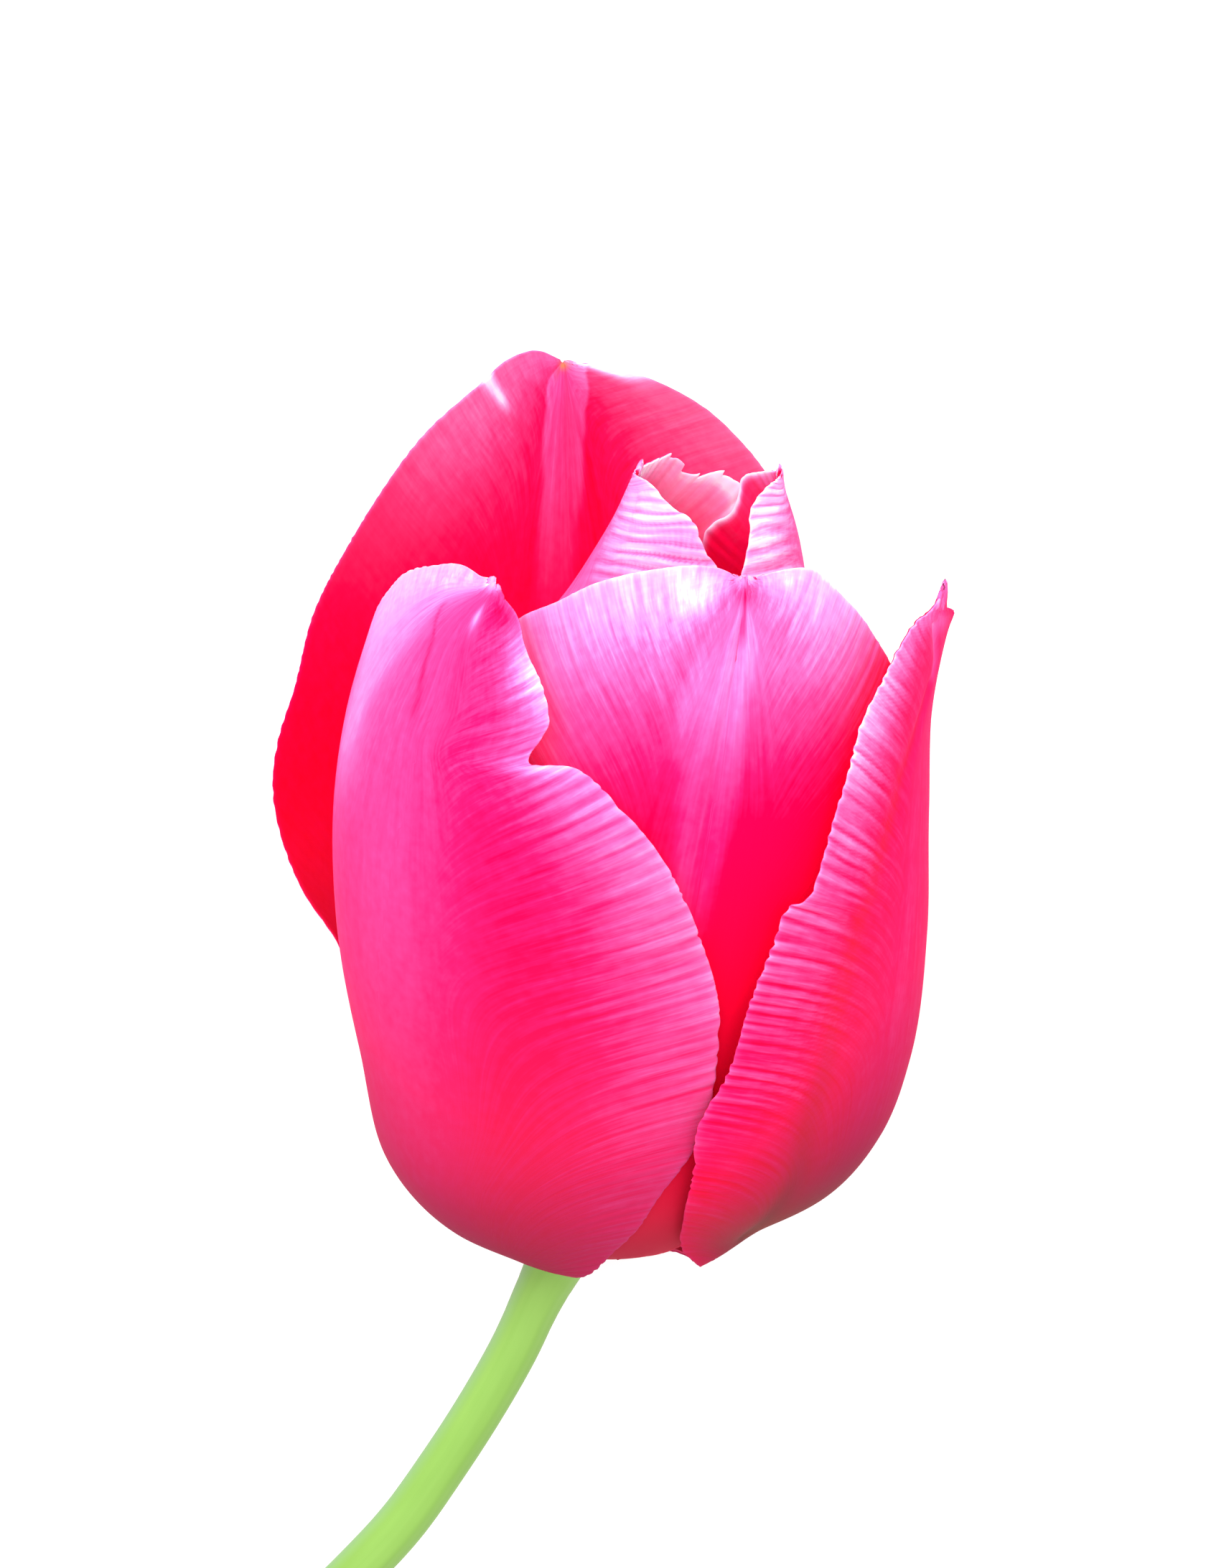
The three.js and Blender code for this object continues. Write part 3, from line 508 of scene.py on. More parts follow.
def chain_lengths(places):
    """How far each place of a chain is from its start, along it."""
    return np.concatenate([[0], np.cumsum(np.linalg.norm(np.diff(places, axis=0), axis=1))])


def from_polar(polar):
    """Places in the bloom's own frame, from (azimuth, radius, height)."""
    turn = np.radians(polar[..., 0])
    radius = polar[..., 1]
    return np.stack([radius * np.sin(turn), -radius * np.cos(turn), polar[..., 2]], -1)


def smooth_rail(rail, share):
    """Points of the smooth line through a rail, at the given shares of its length."""
    points = np.array(rail, float)
    marks = chain_lengths(from_polar(points))
    marks /= marks[-1]
    widths = np.diff(marks)[:, None]
    slopes = np.diff(points, axis=0) / widths
    before, after = widths[:-1], widths[1:]
    bends = (slopes[:-1] * after + slopes[1:] * before) / (before + after)
    tangents = np.concatenate([slopes[:1], bends, slopes[-1:]])
    return read_curve(marks, points, tangents, share)


def through(marks, values, at):
    """Smooth curve through the rows of a table at rising marks, read at other marks."""
    slopes = np.diff(values, axis=0) / np.diff(marks)[:, None]
    tangents = np.concatenate([slopes[:1], (slopes[:-1] + slopes[1:]) / 2, slopes[-1:]])
    return read_curve(marks, values, tangents, at)


def bloom_matrix():
    """From the bloom's own frame to the row frame, in millimetres."""
    turn = Euler((math.radians(BLOOM_RISE - 90), 0, math.radians(-BLOOM_LEAN)), "XYZ")
    return Matrix.Translation(Vector(SEAT)) @ turn.to_matrix().to_4x4()


BLOOM = np.array(bloom_matrix())


def to_world(points):
    """Points of the bloom's own frame in the row frame."""
    return points @ BLOOM[:3, :3].T + BLOOM[:3, 3]


def unit(vectors):
    """The same directions at length one."""
    return vectors / np.maximum(np.linalg.norm(vectors, axis=-1, keepdims=True), TINY)


def circle(steps):
    """Angles evenly round a circle."""
    return np.linspace(0, 2 * math.pi, steps, endpoint=False)


def ramp(x, low, high):
    """0 below low, 1 above high, smooth between."""
    t = np.clip((x - low) / (high - low), 0, 1)
    return t * t * (3 - 2 * t)


def waves(x, seed, low, high, count):
    """A sum of sines of seeded phase, between two frequencies, of about unit size."""
    random = np.random.default_rng(seed)
    frequencies = random.uniform(low, high, count)
    phases = random.uniform(0, 2 * math.pi, count)
    return np.sin(2 * math.pi * x[..., None] * frequencies + phases).sum(-1) / math.sqrt(count / 2)


def across_shares(columns):
    """Values of u: even in the middle, and close together at the margins so that they round off."""
    rim = np.array(MARGIN_COLUMNS)
    return np.concatenate([-1 + rim, np.linspace(-EVEN_TO, EVEN_TO, columns), 1 - rim[::-1]])


def grid_normals(points):
    """Unit normals of a grid of points, out of the bloom."""
    return unit(np.cross(np.gradient(points, axis=1), np.gradient(points, axis=0)))


def margin_shape(v, depth, tooth, seed):
    """How far the margin draws back, in mm: rounded scallops with narrow notches between them."""
    length = v * PETAL_LENGTH
    bend = waves(length, seed, *BEND_WAVES)
    scallops = 1 - np.abs(np.sin(math.pi * (length / SCALLOP_STEP + 0.35 * bend))) ** 0.6
    uneven = 0.6 + 0.4 * np.clip(waves(length, seed + 1, *UNEVEN_WAVES), -1, 1.5)
    teeth = (length / TOOTH_STEP + 0.2 * bend) % 1
    return depth * scallops * uneven + tooth * teeth * ramp(v, *TEETH_FROM) * (1 - ramp(v, *TEETH_TO))


def petal_grid(name, seed):
    """u, v and the points of the petal's middle surface in the row frame."""
    rows, columns, below = GRID.get(name, PLAIN_GRID)
    shares = [np.linspace(0, SPLIT, below, endpoint=False), np.linspace(SPLIT, LAST_ROW, rows - below)]
    u, v = np.meshgrid(across_shares(columns), np.concatenate(shares))
    left_back = margin_shape(v, SCALLOPS[name], TEETH.get(name, 0), seed)
    right_back = margin_shape(v, SCALLOPS[name], 0, seed + 5)
    back = np.where(u < 0, left_back, right_back) * ramp(np.abs(u), 0.9, 1)
    across = (u * (1 - back / HALF_WIDTH))[..., None]
    rails = PETALS[name]
    low, middle, high = (smooth_rail(rails[k], v[:, 0])[:, None] for k in ("left", "midrib", "right"))
    polar = middle + across * (high - low) / 2 + across**2 * ((low + high) / 2 - middle)
    tatters = np.abs(waves(u * 3, seed + 9, *FRINGE_WAVES)) * TATTERS.get(name, 0)
    tatters *= ramp(v, TATTERS_FROM, LAST_ROW)
    onward = (math.sin(math.radians(BLOOM_LEAN)), math.cos(math.radians(BLOOM_LEAN)), 0.3)
    return u, v, to_world(from_polar(polar)) + tatters[..., None] * onward


def spot_weight(u, v, at_u, at_v, wide, high):
    """A soft spot on a petal: 1 in its middle, fading out all round."""
    return np.exp(-(((u - at_u) / wide) ** 2) - ((v - at_v) / high) ** 2)


def add_spots(u, v, spots):
    """The sum of soft spots, each with one amount."""
    total = np.zeros_like(u)
    for *where, amount in spots:
        total += amount * spot_weight(u, v, *where)
    return total


def line_offset(u, v, points):
    """How far each place is from a line that runs up the petal, in u."""
    at, across = np.array(points).T
    return u - np.interp(v, at, across)


def line_weight(u, v, points, wide):
    """A soft line on a petal: 1 along it, fading out beside it and past its ends."""
    first, last = points[0][0], points[-1][0]
    inside = ramp(v, first - LINE_START, first) * (1 - ramp(v, last, last + LINE_END))
    return np.exp(-((line_offset(u, v, points) / wide) ** 2)) * inside


def band_weight(u, v, left, right, soft, start, full):
    """A band between two lines of a petal, with soft edges, which comes in between two v."""
    past_left = ramp(line_offset(u, v, left), -soft, soft)
    past_right = ramp(line_offset(u, v, right), -soft, soft)
    return past_left * (1 - past_right) * ramp(v, start, full)


def tone_layers(name, u, v, spots, lines, bands):
    """The four tone layers of one face: paler, redder, painted shade and olive."""
    layers = [(spot_weight(u, v, *row[:4]), row[4:]) for row in spots]
    layers += [(line_weight(u, v, *row[:2]), row[2:]) for row in lines.get(name, [])]
    layers += [(band_weight(u, v, *row[:5]), row[5:]) for row in bands.get(name, [])]
    return sum(weight[..., None] * np.array(amounts, float) for weight, amounts in layers)


def petal_tones(name, u, v):
    """The tone layers of a petal's outside and of its inside."""
    outside = tone_layers(name, u, v, OUTSIDE_SPOTS[name], OUTSIDE_LINES, OUTSIDE_BANDS)
    inside = tone_layers(name, u, v, INSIDE_SPOTS.get(name, []) + [INSIDE_BASE], {}, INSIDE_BANDS)
    rim = np.exp(-(1 - np.abs(u)) / RIM_WIDTH) * RIM_PALENESS
    outside[..., 0] += OUTSIDE_PALENESS.get(name, PLAIN_PALENESS) + rim
    inside[..., 0] += INSIDE_PALENESS + rim * 0.5
    inside[..., 1] += 1
    if name != "petal_back":
        tip = ramp(v, TIP_FROM, TIP_FULL)[..., None]
        outside += tip * TIP_OUTSIDE
        inside += tip * TIP_INSIDE
    return outside, inside


def vein_strengths(name, u, v):
    """How strongly the veins show on a petal's outside and on its inside."""
    outside, inside, spots = STREAKS[name]
    more = add_spots(u, v, spots)
    return outside + more, inside + more


def vein_place(name, u, v):
    """How the veins pass each point of a petal.

    Gives the vein as mm along the margin, how far the point is from the midrib, how much the veins
    there fan out, and whether it is right of the midrib.
    """
    veins = VEINS[name]
    at_tip, at_middle = veins["midrib"]
    moved = np.clip((v - MIDRIB_FROM) / MIDRIB_OVER, -0.4, 1)
    midrib = at_middle + (at_tip - at_middle) * moved
    right = u > midrib
    start, climb, tip_climb = (np.where(right, *veins[k][::-1]) for k in ("fan", "climb", "tip_climb"))
    reach = np.abs(u - midrib) / np.where(right, 1 - midrib, 1 + midrib)
    climb = climb + (tip_climb - climb) * ramp(v, *CLIMB_CHANGES)
    spread = (1 - reach) ** 2 / (reach + 0.12)
    lag = (1 - v) * (veins["lag"] + FOOT_LAG * (1 - ramp(v, *FOOT_LAG_ENDS)))
    vein = (v + lag * spread - climb * reach**2 / 2) * PETAL_LENGTH
    return vein, reach, ramp(reach, start, start + FAN_SOFTNESS), right


def petal_relief(name, u, v, vein, reach, seed):
    """How far the blade stands out of its smooth surface, in mm, and the wrinkles alone."""
    edge = ramp(reach, 0.5, 1.0)
    wrinkle = waves(vein * CLOSER_WRINKLES.get(name, 1), seed, *WRINKLE_WAVES)
    wrinkle = np.clip(wrinkle, -WRINKLE_LIMIT, WRINKLE_LIMIT) * add_spots(u, v, WRINKLES.get(name, []))
    relief = wrinkle * WRINKLE_HEIGHT
    relief += waves(vein, seed + 3, *RIB_WAVES) * edge * RIB_HEIGHT
    relief += waves(v * PETAL_LENGTH, seed + 1, *SWAY_WAVES) * edge**2 * SWAY_HEIGHT
    relief += add_spots(u, v, RELIEF_SPOTS.get(name, []))
    for points, wide, rise in FOLDS.get(name, []):
        relief += rise * line_weight(u, v, points, wide)
    return relief, wrinkle


def blade_sides(u, v, middle):
    """The outer and inner side of a blade, which close to a rounded rim above the surface."""
    half = (THICKNESS + (EDGE_THICKNESS - THICKNESS) * u**2) / 2
    inset = np.minimum(1 - np.abs(u), (v[-1, 0] - v) * 1.6 + 0.0002)
    half *= np.sqrt(np.clip(1 - (1 - np.minimum(inset / ROUNDING, 1)) ** 2, 0.01, 1))
    middle[..., 2] = np.maximum(middle[..., 2], half + 0.001)
    normals = grid_normals(middle) * half[..., None]
    outer = middle + normals
    outer[..., 2] = np.maximum(outer[..., 2], 0)
    return outer, middle - normals


def shell(outer, inner):
    """Points and faces of a closed shell, from the grids of its two sides."""
    rows, columns = outer.shape[:2]
    count = rows * columns
    at = np.arange(count).reshape(rows, columns)
    quads = np.stack([at[:-1, :-1], at[:-1, 1:], at[1:, 1:], at[1:, :-1]], -1).reshape(-1, 4)
    rim = np.concatenate([at[0, :-1], at[:-1, -1], at[-1, :0:-1], at[:0:-1, 0]])
    following = np.roll(rim, -1)
    sides = np.stack([rim, rim + count, following + count, following], -1)
    faces = np.concatenate([quads, quads[:, ::-1] + count, sides])
    return np.concatenate([outer.reshape(-1, 3), inner.reshape(-1, 3)]), faces.tolist()


def loft(rings):
    """Points and faces of a solid through rings of equal length, with a fan over each end."""
    count, sides = rings.shape[:2]
    at = np.arange(count * sides).reshape(count, sides)
    along = np.roll(at, -1, axis=1)
    quads = np.stack([at[:-1], along[:-1], along[1:], at[1:]], -1).reshape(-1, 4).tolist()
    points = np.concatenate([rings.reshape(-1, 3), rings[:1].mean(1), rings[-1:].mean(1)])
    first, last = len(points) - 2, len(points) - 1
    caps = [[first, b, a] for a, b in zip(at[0].tolist(), along[0].tolist())]
    caps += [[last, a, b] for a, b in zip(at[-1].tolist(), along[-1].tolist())]
    return points, quads + caps


def rings_round(reach, turn, height):
    """Points at a distance, angle and height round the bloom's axis."""
    return np.stack(np.broadcast_arrays(reach * np.cos(turn), reach * np.sin(turn), height), -1)


def link_piece(name, points, faces):
    """A smooth object from points in millimetres."""
    mesh = bpy.data.meshes.new(name)
    mesh.from_pydata((points * MM).tolist(), [], faces)
    mesh.polygons.foreach_set("use_smooth", np.ones(len(mesh.polygons), bool))
    mesh.update()
    piece = bpy.data.objects.new(name, mesh)
    bpy.context.collection.objects.link(piece)
    return piece


def set_vectors(piece, name, values):
    """Stores a vector for each vertex, for the materials to read."""
    layer = piece.data.attributes.new(name, "FLOAT_VECTOR", "POINT")
    layer.data.foreach_set("vector", np.ascontiguousarray(values, np.float32).ravel())


def build_petal(name, seed):
    """The petal as a closed shell with its colour zones and vein coordinates as attributes."""
    u, v, middle = petal_grid(name, seed)
    vein, reach, fan, right = vein_place(name, u, v)
    relief, wrinkle = petal_relief(name, u, v, vein, reach, seed)
    sides = blade_sides(u, v, middle + grid_normals(middle) * relief[..., None])
    piece = link_piece(name + "_fine", *shell(*sides))
    tones, strengths = petal_tones(name, u, v), vein_strengths(name, u, v)
    if PETALS[name]["right"][0][0] < PETALS[name]["left"][0][0]:  # the first side is the inside
        tones, strengths = tones[::-1], strengths[::-1]
    tone = np.concatenate([layers.reshape(-1, 4) for layers in tones])
    veins = np.stack([vein, u * HALF_WIDTH, 5 * right + seed], -1).reshape(-1, 3)
    place = np.stack([v * PETAL_LENGTH, wrinkle, reach], -1).reshape(-1, 3)
    set_vectors(piece, "tone", tone[:, :3])
    set_vectors(piece, "vein", np.concatenate([veins, veins + [0, 0, 2]]))
    set_vectors(piece, "extra", np.stack([tone[:, 3], np.ravel(strengths), np.tile(fan.ravel(), 2)], -1))
    set_vectors(piece, "place", np.tile(place, (2, 1)))
    return piece


def stem_plan():
    """Closely spaced points of the stem's line seen from above."""
    places = SEAT[:2] + np.array(STEM_PLAN)
    places = np.concatenate([[2 * places[0] - places[1]], places, [2 * places[-1] - places[-2]]])
    x = np.linspace(0, 1, PLAN_STEPS, endpoint=False)[:, None]
    dense = []
    for p0, p1, p2, p3 in zip(places, places[1:], places[2:], places[3:]):
        a, b, c = (math.sqrt(np.linalg.norm(step)) for step in (p1 - p0, p2 - p1, p3 - p2))
        leave = ((p1 - p0) / a - (p2 - p0) / (a + b) + (p2 - p1) / b) * b
        arrive = ((p2 - p1) / b - (p3 - p1) / (b + c) + (p3 - p2) / c) * b
        dense.append(hermite(x, p1, leave, p2, arrive))
    return np.concatenate(dense + [places[-2:-1]])


def stem_line(distances, plan):
    """Points of the stem's middle line at the given distances along it, seen from above."""
    share = np.minimum(distances / STEM_LANDING, 1)
    slope = -math.tan(math.radians(BLOOM_RISE))
    height = hermite(share, SEAT[2], slope * STEM_LANDING, STEM_REST, 0)
    lengths = chain_lengths(plan)
    x, y = (np.interp(distances, lengths, plan[:, k]) for k in (0, 1))
    return np.stack([x, y, height], -1)


def stem_frames(places, plan, length):
    """The stem's middle line at the given distances along it, and two directions across it there."""
    ahead = stem_line(np.minimum(places + 0.1, length), plan)
    behind = stem_line(np.maximum(places - 0.1, 0), plan)
    bend = np.minimum(places / RECEPTACLE[-1][0], 1)[:, None]
    direction = unit(-BLOOM[:3, 2] * (1 - bend) + unit(ahead - behind) * bend)
    down = np.array([0, 0, -1.0])
    x = unit(down - direction * (direction @ down)[:, None])
    return stem_line(places, plan), x, np.cross(direction, x)


def stem_places(length):
    """Distances along the stem at which it has rings: close together at both its ends."""
    plain = RECEPTACLE[-1][0]
    below = np.arange(plain + 0.6, length - 0.35, STEM_STEP)
    return np.concatenate([np.linspace(0, plain, 26), below, length - np.array(CUT_ROWS)])


def build_stem():
    """The round stem, with the receptacle as its widened top and a clean cut at its foot."""
    plan = stem_plan()
    length = chain_lengths(plan)[-1]
    places = stem_places(length)
    line, x, y = stem_frames(places, plan, length)
    wide = np.array(RECEPTACLE)
    radius = through(wide[:, 0], wide[:, 1:], np.minimum(places, wide[-1, 0]))
    radius[-3:, 0] -= CUT_BEVEL
    turn, along = circle(STEM_SIDES)[None], places[:, None]
    ribs = sum(rise * np.cos(count * turn + twist * along + start) for rise, count, twist, start in RIBS)
    swell = waves(places, STEM_SEED, *SWELL_WAVES)[:, None] * SWELL
    reach = (radius + (ribs + swell - STEM_SLACK) * (along > RIBS_FROM))[..., None]
    out = x[:, None] * np.cos(turn)[..., None] + y[:, None] * np.sin(turn)[..., None]
    rings = line[:, None] + reach * out
    rings[..., 2] = np.maximum(rings[..., 2], 0)
    piece = link_piece("stem_fine", *loft(rings))
    veins = np.stack(np.broadcast_arrays(turn * STEM_RADIUS, along, 1.0), -1).reshape(-1, 3)
    set_vectors(piece, "vein", np.concatenate([veins, [[0, 0, 1], [0, length, 0]]]))
    return piece


def build_pistil():
    """The three-cornered ovary with its three-lobed stigma."""
    rows = np.array(PISTIL)
    heights = np.concatenate([np.linspace(0, 18, 40), np.linspace(18.1, 21.6, 26)])
    shape = through(rows[:, 0], rows[:, 1:], heights)
    turn, height = circle(72)[None], heights[:, None]
    lobes = 1 - shape[:, 1:] * (1 - np.abs(np.cos(1.5 * turn)) ** 0.7)
    frill = ramp(height, 19, 21) * (0.05 * np.sin(21 * turn) + 0.04 * np.sin(33 * turn + height))
    reach = shape[:, :1] * lobes * (1 + frill - 0.02)
    points, faces = loft(rings_round(reach, turn, height + SEAM))
    piece = link_piece("pistil_fine", to_world(points), faces)
    set_vectors(piece, "height", points)
    return piece


def stamen_rings():
    """One stamen, leaning outwards from its foot: filament below, furrowed anther above."""
    rows = np.array(STAMEN)
    marks = chain_lengths(rows[:, :2])
    shape = through(marks, rows, np.linspace(0, marks[-1], 64))
    lean = np.arctan2(np.gradient(shape[:, 0]), np.gradient(shape[:, 1]))[:, None]
    turn = circle(24)[None]
    anther = ramp(shape[:, 1], 11.8, 12.4)[:, None]
    furrow = 1 - anther * 0.28 * np.abs(np.cos(turn)) ** 6
    out = shape[:, 3:] * np.cos(turn) * furrow
    wide = shape[:, 2:3] * np.sin(turn) * (1 - 0.03 * anther)
    rise = shape[:, 1:2] - out * np.sin(lean) + SEAM
    return np.stack([STAMEN_RING + shape[:, :1] + out * np.cos(lean), wide, rise], -1)


def stamen_foot():
    """Points and faces of the ring that the stamens' feet stand on."""
    around, tube = circle(RING_STEPS)[:, None], circle(RING_SIDES)[None]
    height = RING_HALF - RING_HALF * np.sin(tube) + SEAM
    ring = rings_round(STAMEN_RING + RING_HALF * np.cos(tube), around, height)
    at = np.arange(RING_STEPS * RING_SIDES).reshape(RING_STEPS, RING_SIDES)
    after, beside = np.roll(at, -1, 0), np.roll(at, -1, 1)
    faces = np.stack([at, beside, np.roll(after, -1, 1), after], -1).reshape(-1, 4)
    return ring.reshape(-1, 3), faces.tolist()


def build_stamens():
    """Six stamens whose broad feet meet in a ring round the pistil."""
    parts = []
    for i in range(STAMENS):
        turn = (i + 0.5) / STAMENS * 2 * math.pi
        cosine, sine = math.cos(turn), math.sin(turn)
        parts.append(loft(stamen_rings() @ np.array([[cosine, sine, 0], [-sine, cosine, 0], [0, 0, 1]])))
    points, faces = [], []
    for more, sides in parts + [stamen_foot()]:
        faces += [[k + len(points) for k in side] for side in sides]
        points += more.tolist()
    points = np.array(points)
    piece = link_piece("stamens_fine", to_world(points), faces)
    set_vectors(piece, "height", points)
    return piece


def srgb(red, green, blue):
    """A colour given in screen values, for a shader socket."""
    def linear(c):
        c /= 255
        return c / 12.92 if c <= 0.04045 else ((c + 0.055) / 1.055) ** 2.4
    return (linear(red), linear(green), linear(blue), 1)


def palette(stops):
    """Stops of a colour ramp from screen values."""
    return [(place, srgb(*colour)) for place, colour in stops]


class Nodes:
    """Short calls for building a material."""

    def __init__(self, name):
        self.material = bpy.data.materials.new(name)
        self.material.use_nodes = True
        self.tree = self.material.node_tree
        self.shader = self.tree.nodes["Principled BSDF"]

    def node(self, kind, **settings):
        made = self.tree.nodes.new(kind)
        for key, value in settings.items():
            setattr(made, key, value)
        return made

    def feed(self, sockets, values):
        """Links each value to its socket, or sets it there if it is a constant."""
        for socket, value in zip(sockets, values):
            if isinstance(value, bpy.types.NodeSocket):
                self.tree.links.new(value, socket)
            else:
                socket.default_value = value

    def math(self, operation, *values, clamp=False):
        made = self.node("ShaderNodeMath", operation=operation, use_clamp=clamp)
        self.feed(made.inputs, values)
        return made.outputs[0]

    def mix(self, factor, a, b, blend="MIX"):
        made = self.node("ShaderNodeMix", data_type="RGBA", blend_type=blend)
        self.feed((made.inputs[0], made.inputs[6], made.inputs[7]), (factor, a, b))
        return made.outputs[2]

    def mix_value(self, factor, a, b):
        made = self.node("ShaderNodeMix", data_type="FLOAT")
        self.feed((made.inputs[0], made.inputs[2], made.inputs[3]), (factor, a, b))
        return made.outputs[0]

    def combine(self, *values):
        made = self.node("ShaderNodeCombineXYZ")
        self.feed(made.inputs, values)
        return made.outputs[0]

    def colours(self, value, stops):
        """A colour ramp."""
        made = self.node("ShaderNodeValToRGB")
        elements = made.color_ramp.elements
        while len(elements) < len(stops):
            elements.new(0.5)
        for element, (place, colour) in zip(elements, stops):
            element.position = place
            element.color = colour
        self.feed(made.inputs, [value])
        return made.outputs[0]

    def attribute(self, name):
        """A vector of the mesh, whole and as its three parts."""
        read = self.node("ShaderNodeAttribute", attribute_name=name)
        split = self.node("ShaderNodeSeparateXYZ")
        self.feed(split.inputs, [read.outputs["Vector"]])
        return read.outputs["Vector"], split.outputs

    def noise(self, vector, scale, detail=2.0, stretch=(1, 1, 1), rough=0.5):
        place = self.node("ShaderNodeMapping")
        self.feed((place.inputs[0], place.inputs["Scale"]), (vector, stretch))
        made = self.node("ShaderNodeTexNoise")
        sockets = [made.inputs[k] for k in ("Vector", "Scale", "Detail", "Roughness")]
        self.feed(sockets, (place.outputs[0], scale, detail, rough))
        return made.outputs["Fac"]

    def bump(self, pattern, strength, depth):
        """Raises the surface by a pattern, up to a depth in mm."""
        made = self.node("ShaderNodeBump")
        sockets = [made.inputs[k] for k in ("Height", "Strength", "Distance")]
        self.feed(sockets, (pattern, strength, depth * MM))
        self.feed([self.shader.inputs["Normal"]], [made.outputs[0]])

    def finish(self, colour, roughness, specular):
        sockets = [self.shader.inputs[k] for k in ("Base Color", "Roughness", "Specular IOR Level")]
        self.feed(sockets, (colour, roughness, specular))
        return self.material


def vein_pattern(n, vein, length, fan_share):
    """Veins that run up beside the midrib and fan out further from it, about 0 on average."""
    fan = n.combine(vein[0], n.math("MULTIPLY", vein[1], 0.05), vein[2])
    lines = n.combine(vein[1], n.math("MULTIPLY", length, 0.07), vein[2])
    coarse = n.mix_value(fan_share, n.noise(lines, 0.5, 3.0), n.noise(fan, 1.5, 3.0, rough=0.6))
    fine = n.mix_value(fan_share, n.noise(lines, 1.7, 1.0), n.noise(fan, 3.2, 2.0))
    return n.math("MULTIPLY_ADD", fine, 0.7, n.math("ADD", coarse, -0.85))


def petal_material():
    """Pink outside and red inside, with veins that fan out to pale margins, and painted shade towards
    the feet.
    """
    n = Nodes("petal")
    _, (paler, redder, painted_shade) = n.attribute("tone")
    _, vein = n.attribute("vein")
    _, (olive, strength, fan_share) = n.attribute("extra")
    _, (length, wrinkle, _) = n.attribute("place")
    shift = n.math("MULTIPLY", vein_pattern(n, vein, length, fan_share), strength)
    flat = n.combine(vein[1], length, vein[2])
    mottle = n.math("MULTIPLY_ADD", n.noise(flat, 0.8, 4.0), 0.16, -0.08)
    # Painted light and shade across the wrinkles: paler where the blade rises outwards, deeper pink
    # where it sinks, over a random mottle
    wrinkle_shade_and_mottle = n.math("MULTIPLY_ADD", n.math("MINIMUM", wrinkle, 0.4), 0.2, mottle)
    pale = n.math("ADD", wrinkle_shade_and_mottle, n.math("MULTIPLY_ADD", shift, 0.95, paler))
    outside = n.colours(pale, palette(OUTSIDE_COLOURS))
    inside = n.colours(pale, palette(INSIDE_COLOURS))
    colour = n.mix(n.math("MULTIPLY", redder, 1.0, clamp=True), outside, inside)
    # Painted shade: darkens the petals towards their feet and between them
    colour = n.mix(n.math("MULTIPLY", painted_shade, 0.8, clamp=True), colour, srgb(*PAINTED_SHADE_COLOUR))
    colour = n.mix(n.math("MULTIPLY", olive, 0.7, clamp=True), colour, srgb(*OLIVE_COLOUR))
    n.bump(shift, 0.6, 0.2)
    return n.finish(colour, 0.6, 0.01)


def stem_material():
    """Pale green, with faint stripes along it and a painted bluish shade down one side."""
    n = Nodes("stem")
    vein, parts = n.attribute("vein")
    stripes = n.noise(vein, 1.0, 3.0, (2.0, 0.03, 1))
    mottle = n.noise(vein, 1.0, 2.0, (0.3, 0.06, 1))
    value = n.math("MULTIPLY_ADD", stripes, 0.25, n.math("MULTIPLY", mottle, 0.75))
    side = n.math("MULTIPLY", parts[0], 1 / (2 * math.pi * STEM_RADIUS))
    # Painted shade down one side of the stem
    side_shade = n.colours(side, [(place, (share, share, share, 1)) for place, share in STEM_SHADE])
    colour = n.mix(side_shade, n.colours(value, palette(STEM_COLOURS)), srgb(*STEM_SHADE_COLOUR))
    return n.finish(colour, 0.5, 0.3)


def inner_part_material(name, stops, grain, depth):
    """A colour that changes with the height above the receptacle, with a fine grain."""
    n = Nodes(name)
    vector, parts = n.attribute("height")
    speckle = n.noise(vector, grain, 3.0)
    uneven = n.math("MULTIPLY_ADD", speckle, 0.06, -0.03)
    value = n.math("MULTIPLY_ADD", parts[2], 1 / CUP_HEIGHT, uneven)
    colour = n.colours(value, palette(stops))
    colour = n.mix(n.math("MULTIPLY", speckle, 0.35), colour, srgb(*SPECKLE_COLOUR), "MULTIPLY")
    n.bump(speckle, 0.7, depth)
    return n.finish(colour, 0.7, 0.2)


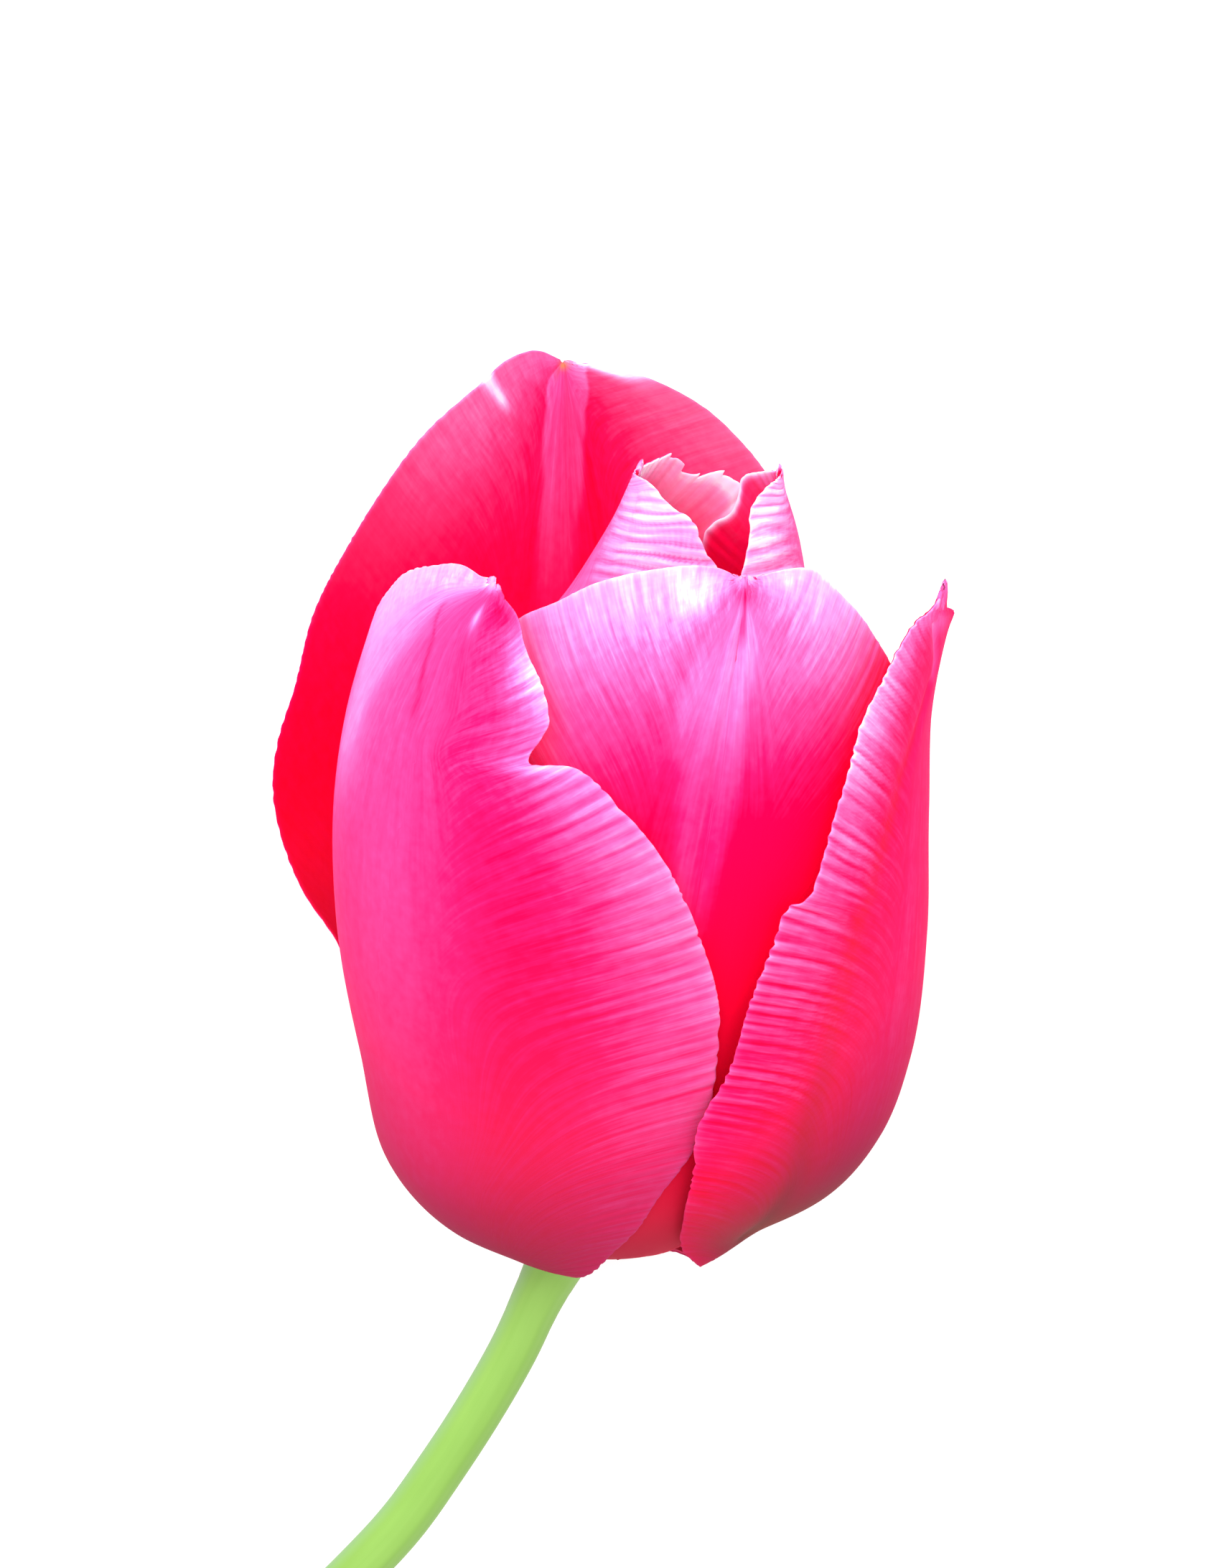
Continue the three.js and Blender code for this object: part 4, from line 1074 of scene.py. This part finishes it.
def floor_material():
    """Plain and pale, and bright enough to show almost white."""
    n = Nodes("floor")
    sockets = [n.shader.inputs[k] for k in ("Emission Color", "Emission Strength")]
    n.feed(sockets, ((1, 1, 1, 1), 0.5))
    return n.finish((0.6, 0.6, 0.6, 1), 0.9, 0.1)


def add_floor():
    """A plain pale surface, well beyond the view."""
    bpy.ops.mesh.primitive_plane_add(size=FLOOR_SIZE, location=(0, 0, 0))
    floor = bpy.context.object
    floor.name = "floor"
    floor.data.materials.append(floor_material())


def add_camera():
    """The photograph's view, from straight above."""
    camera = bpy.data.objects.new("camera", bpy.data.cameras.new("camera"))
    camera.location = [c * MM for c in CAMERA_MM]
    camera.data.lens = LENS_MM
    camera.data.sensor_width = SENSOR_MM
    bpy.context.collection.objects.link(camera)
    bpy.context.scene.camera = camera


def add_lights():
    """Soft studio light: a bright sky and two large area lights."""
    world = bpy.data.worlds.new("studio")
    world.use_nodes = True
    background = world.node_tree.nodes["Background"]
    background.inputs[0].default_value = (1, 1, 1, 1)
    background.inputs[1].default_value = SKY_STRENGTH
    bpy.context.scene.world = world
    for name, place, size, power in LIGHTS:
        data = bpy.data.lights.new(name, "AREA")
        data.size = size
        data.energy = power
        light = bpy.data.objects.new(name, data)
        light.location = place
        light.rotation_euler = (Vector(LIT_PLACE) - Vector(place)).to_track_quat("-Z", "Y").to_euler()
        bpy.context.collection.objects.link(light)
    bpy.context.scene.view_settings.view_transform = "Standard"


def dress(piece, node, look):
    """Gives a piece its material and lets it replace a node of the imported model."""
    piece.data.materials.append(look)
    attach(piece, "root")
    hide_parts(node)


add_camera()
petal_look = petal_material()
for order, petal in enumerate(PETALS):
    dress(build_petal(petal, FIRST_SEED + SEED_STEP * order), petal, petal_look)
dress(build_stem(), "stem", stem_material())
dress(build_pistil(), "pistil", inner_part_material("pistil", PISTIL_COLOURS, 2.5, 0.1))
dress(build_stamens(), "stamens", inner_part_material("stamens", STAMEN_COLOURS, 4.0, 0.15))
add_floor()
add_lights()
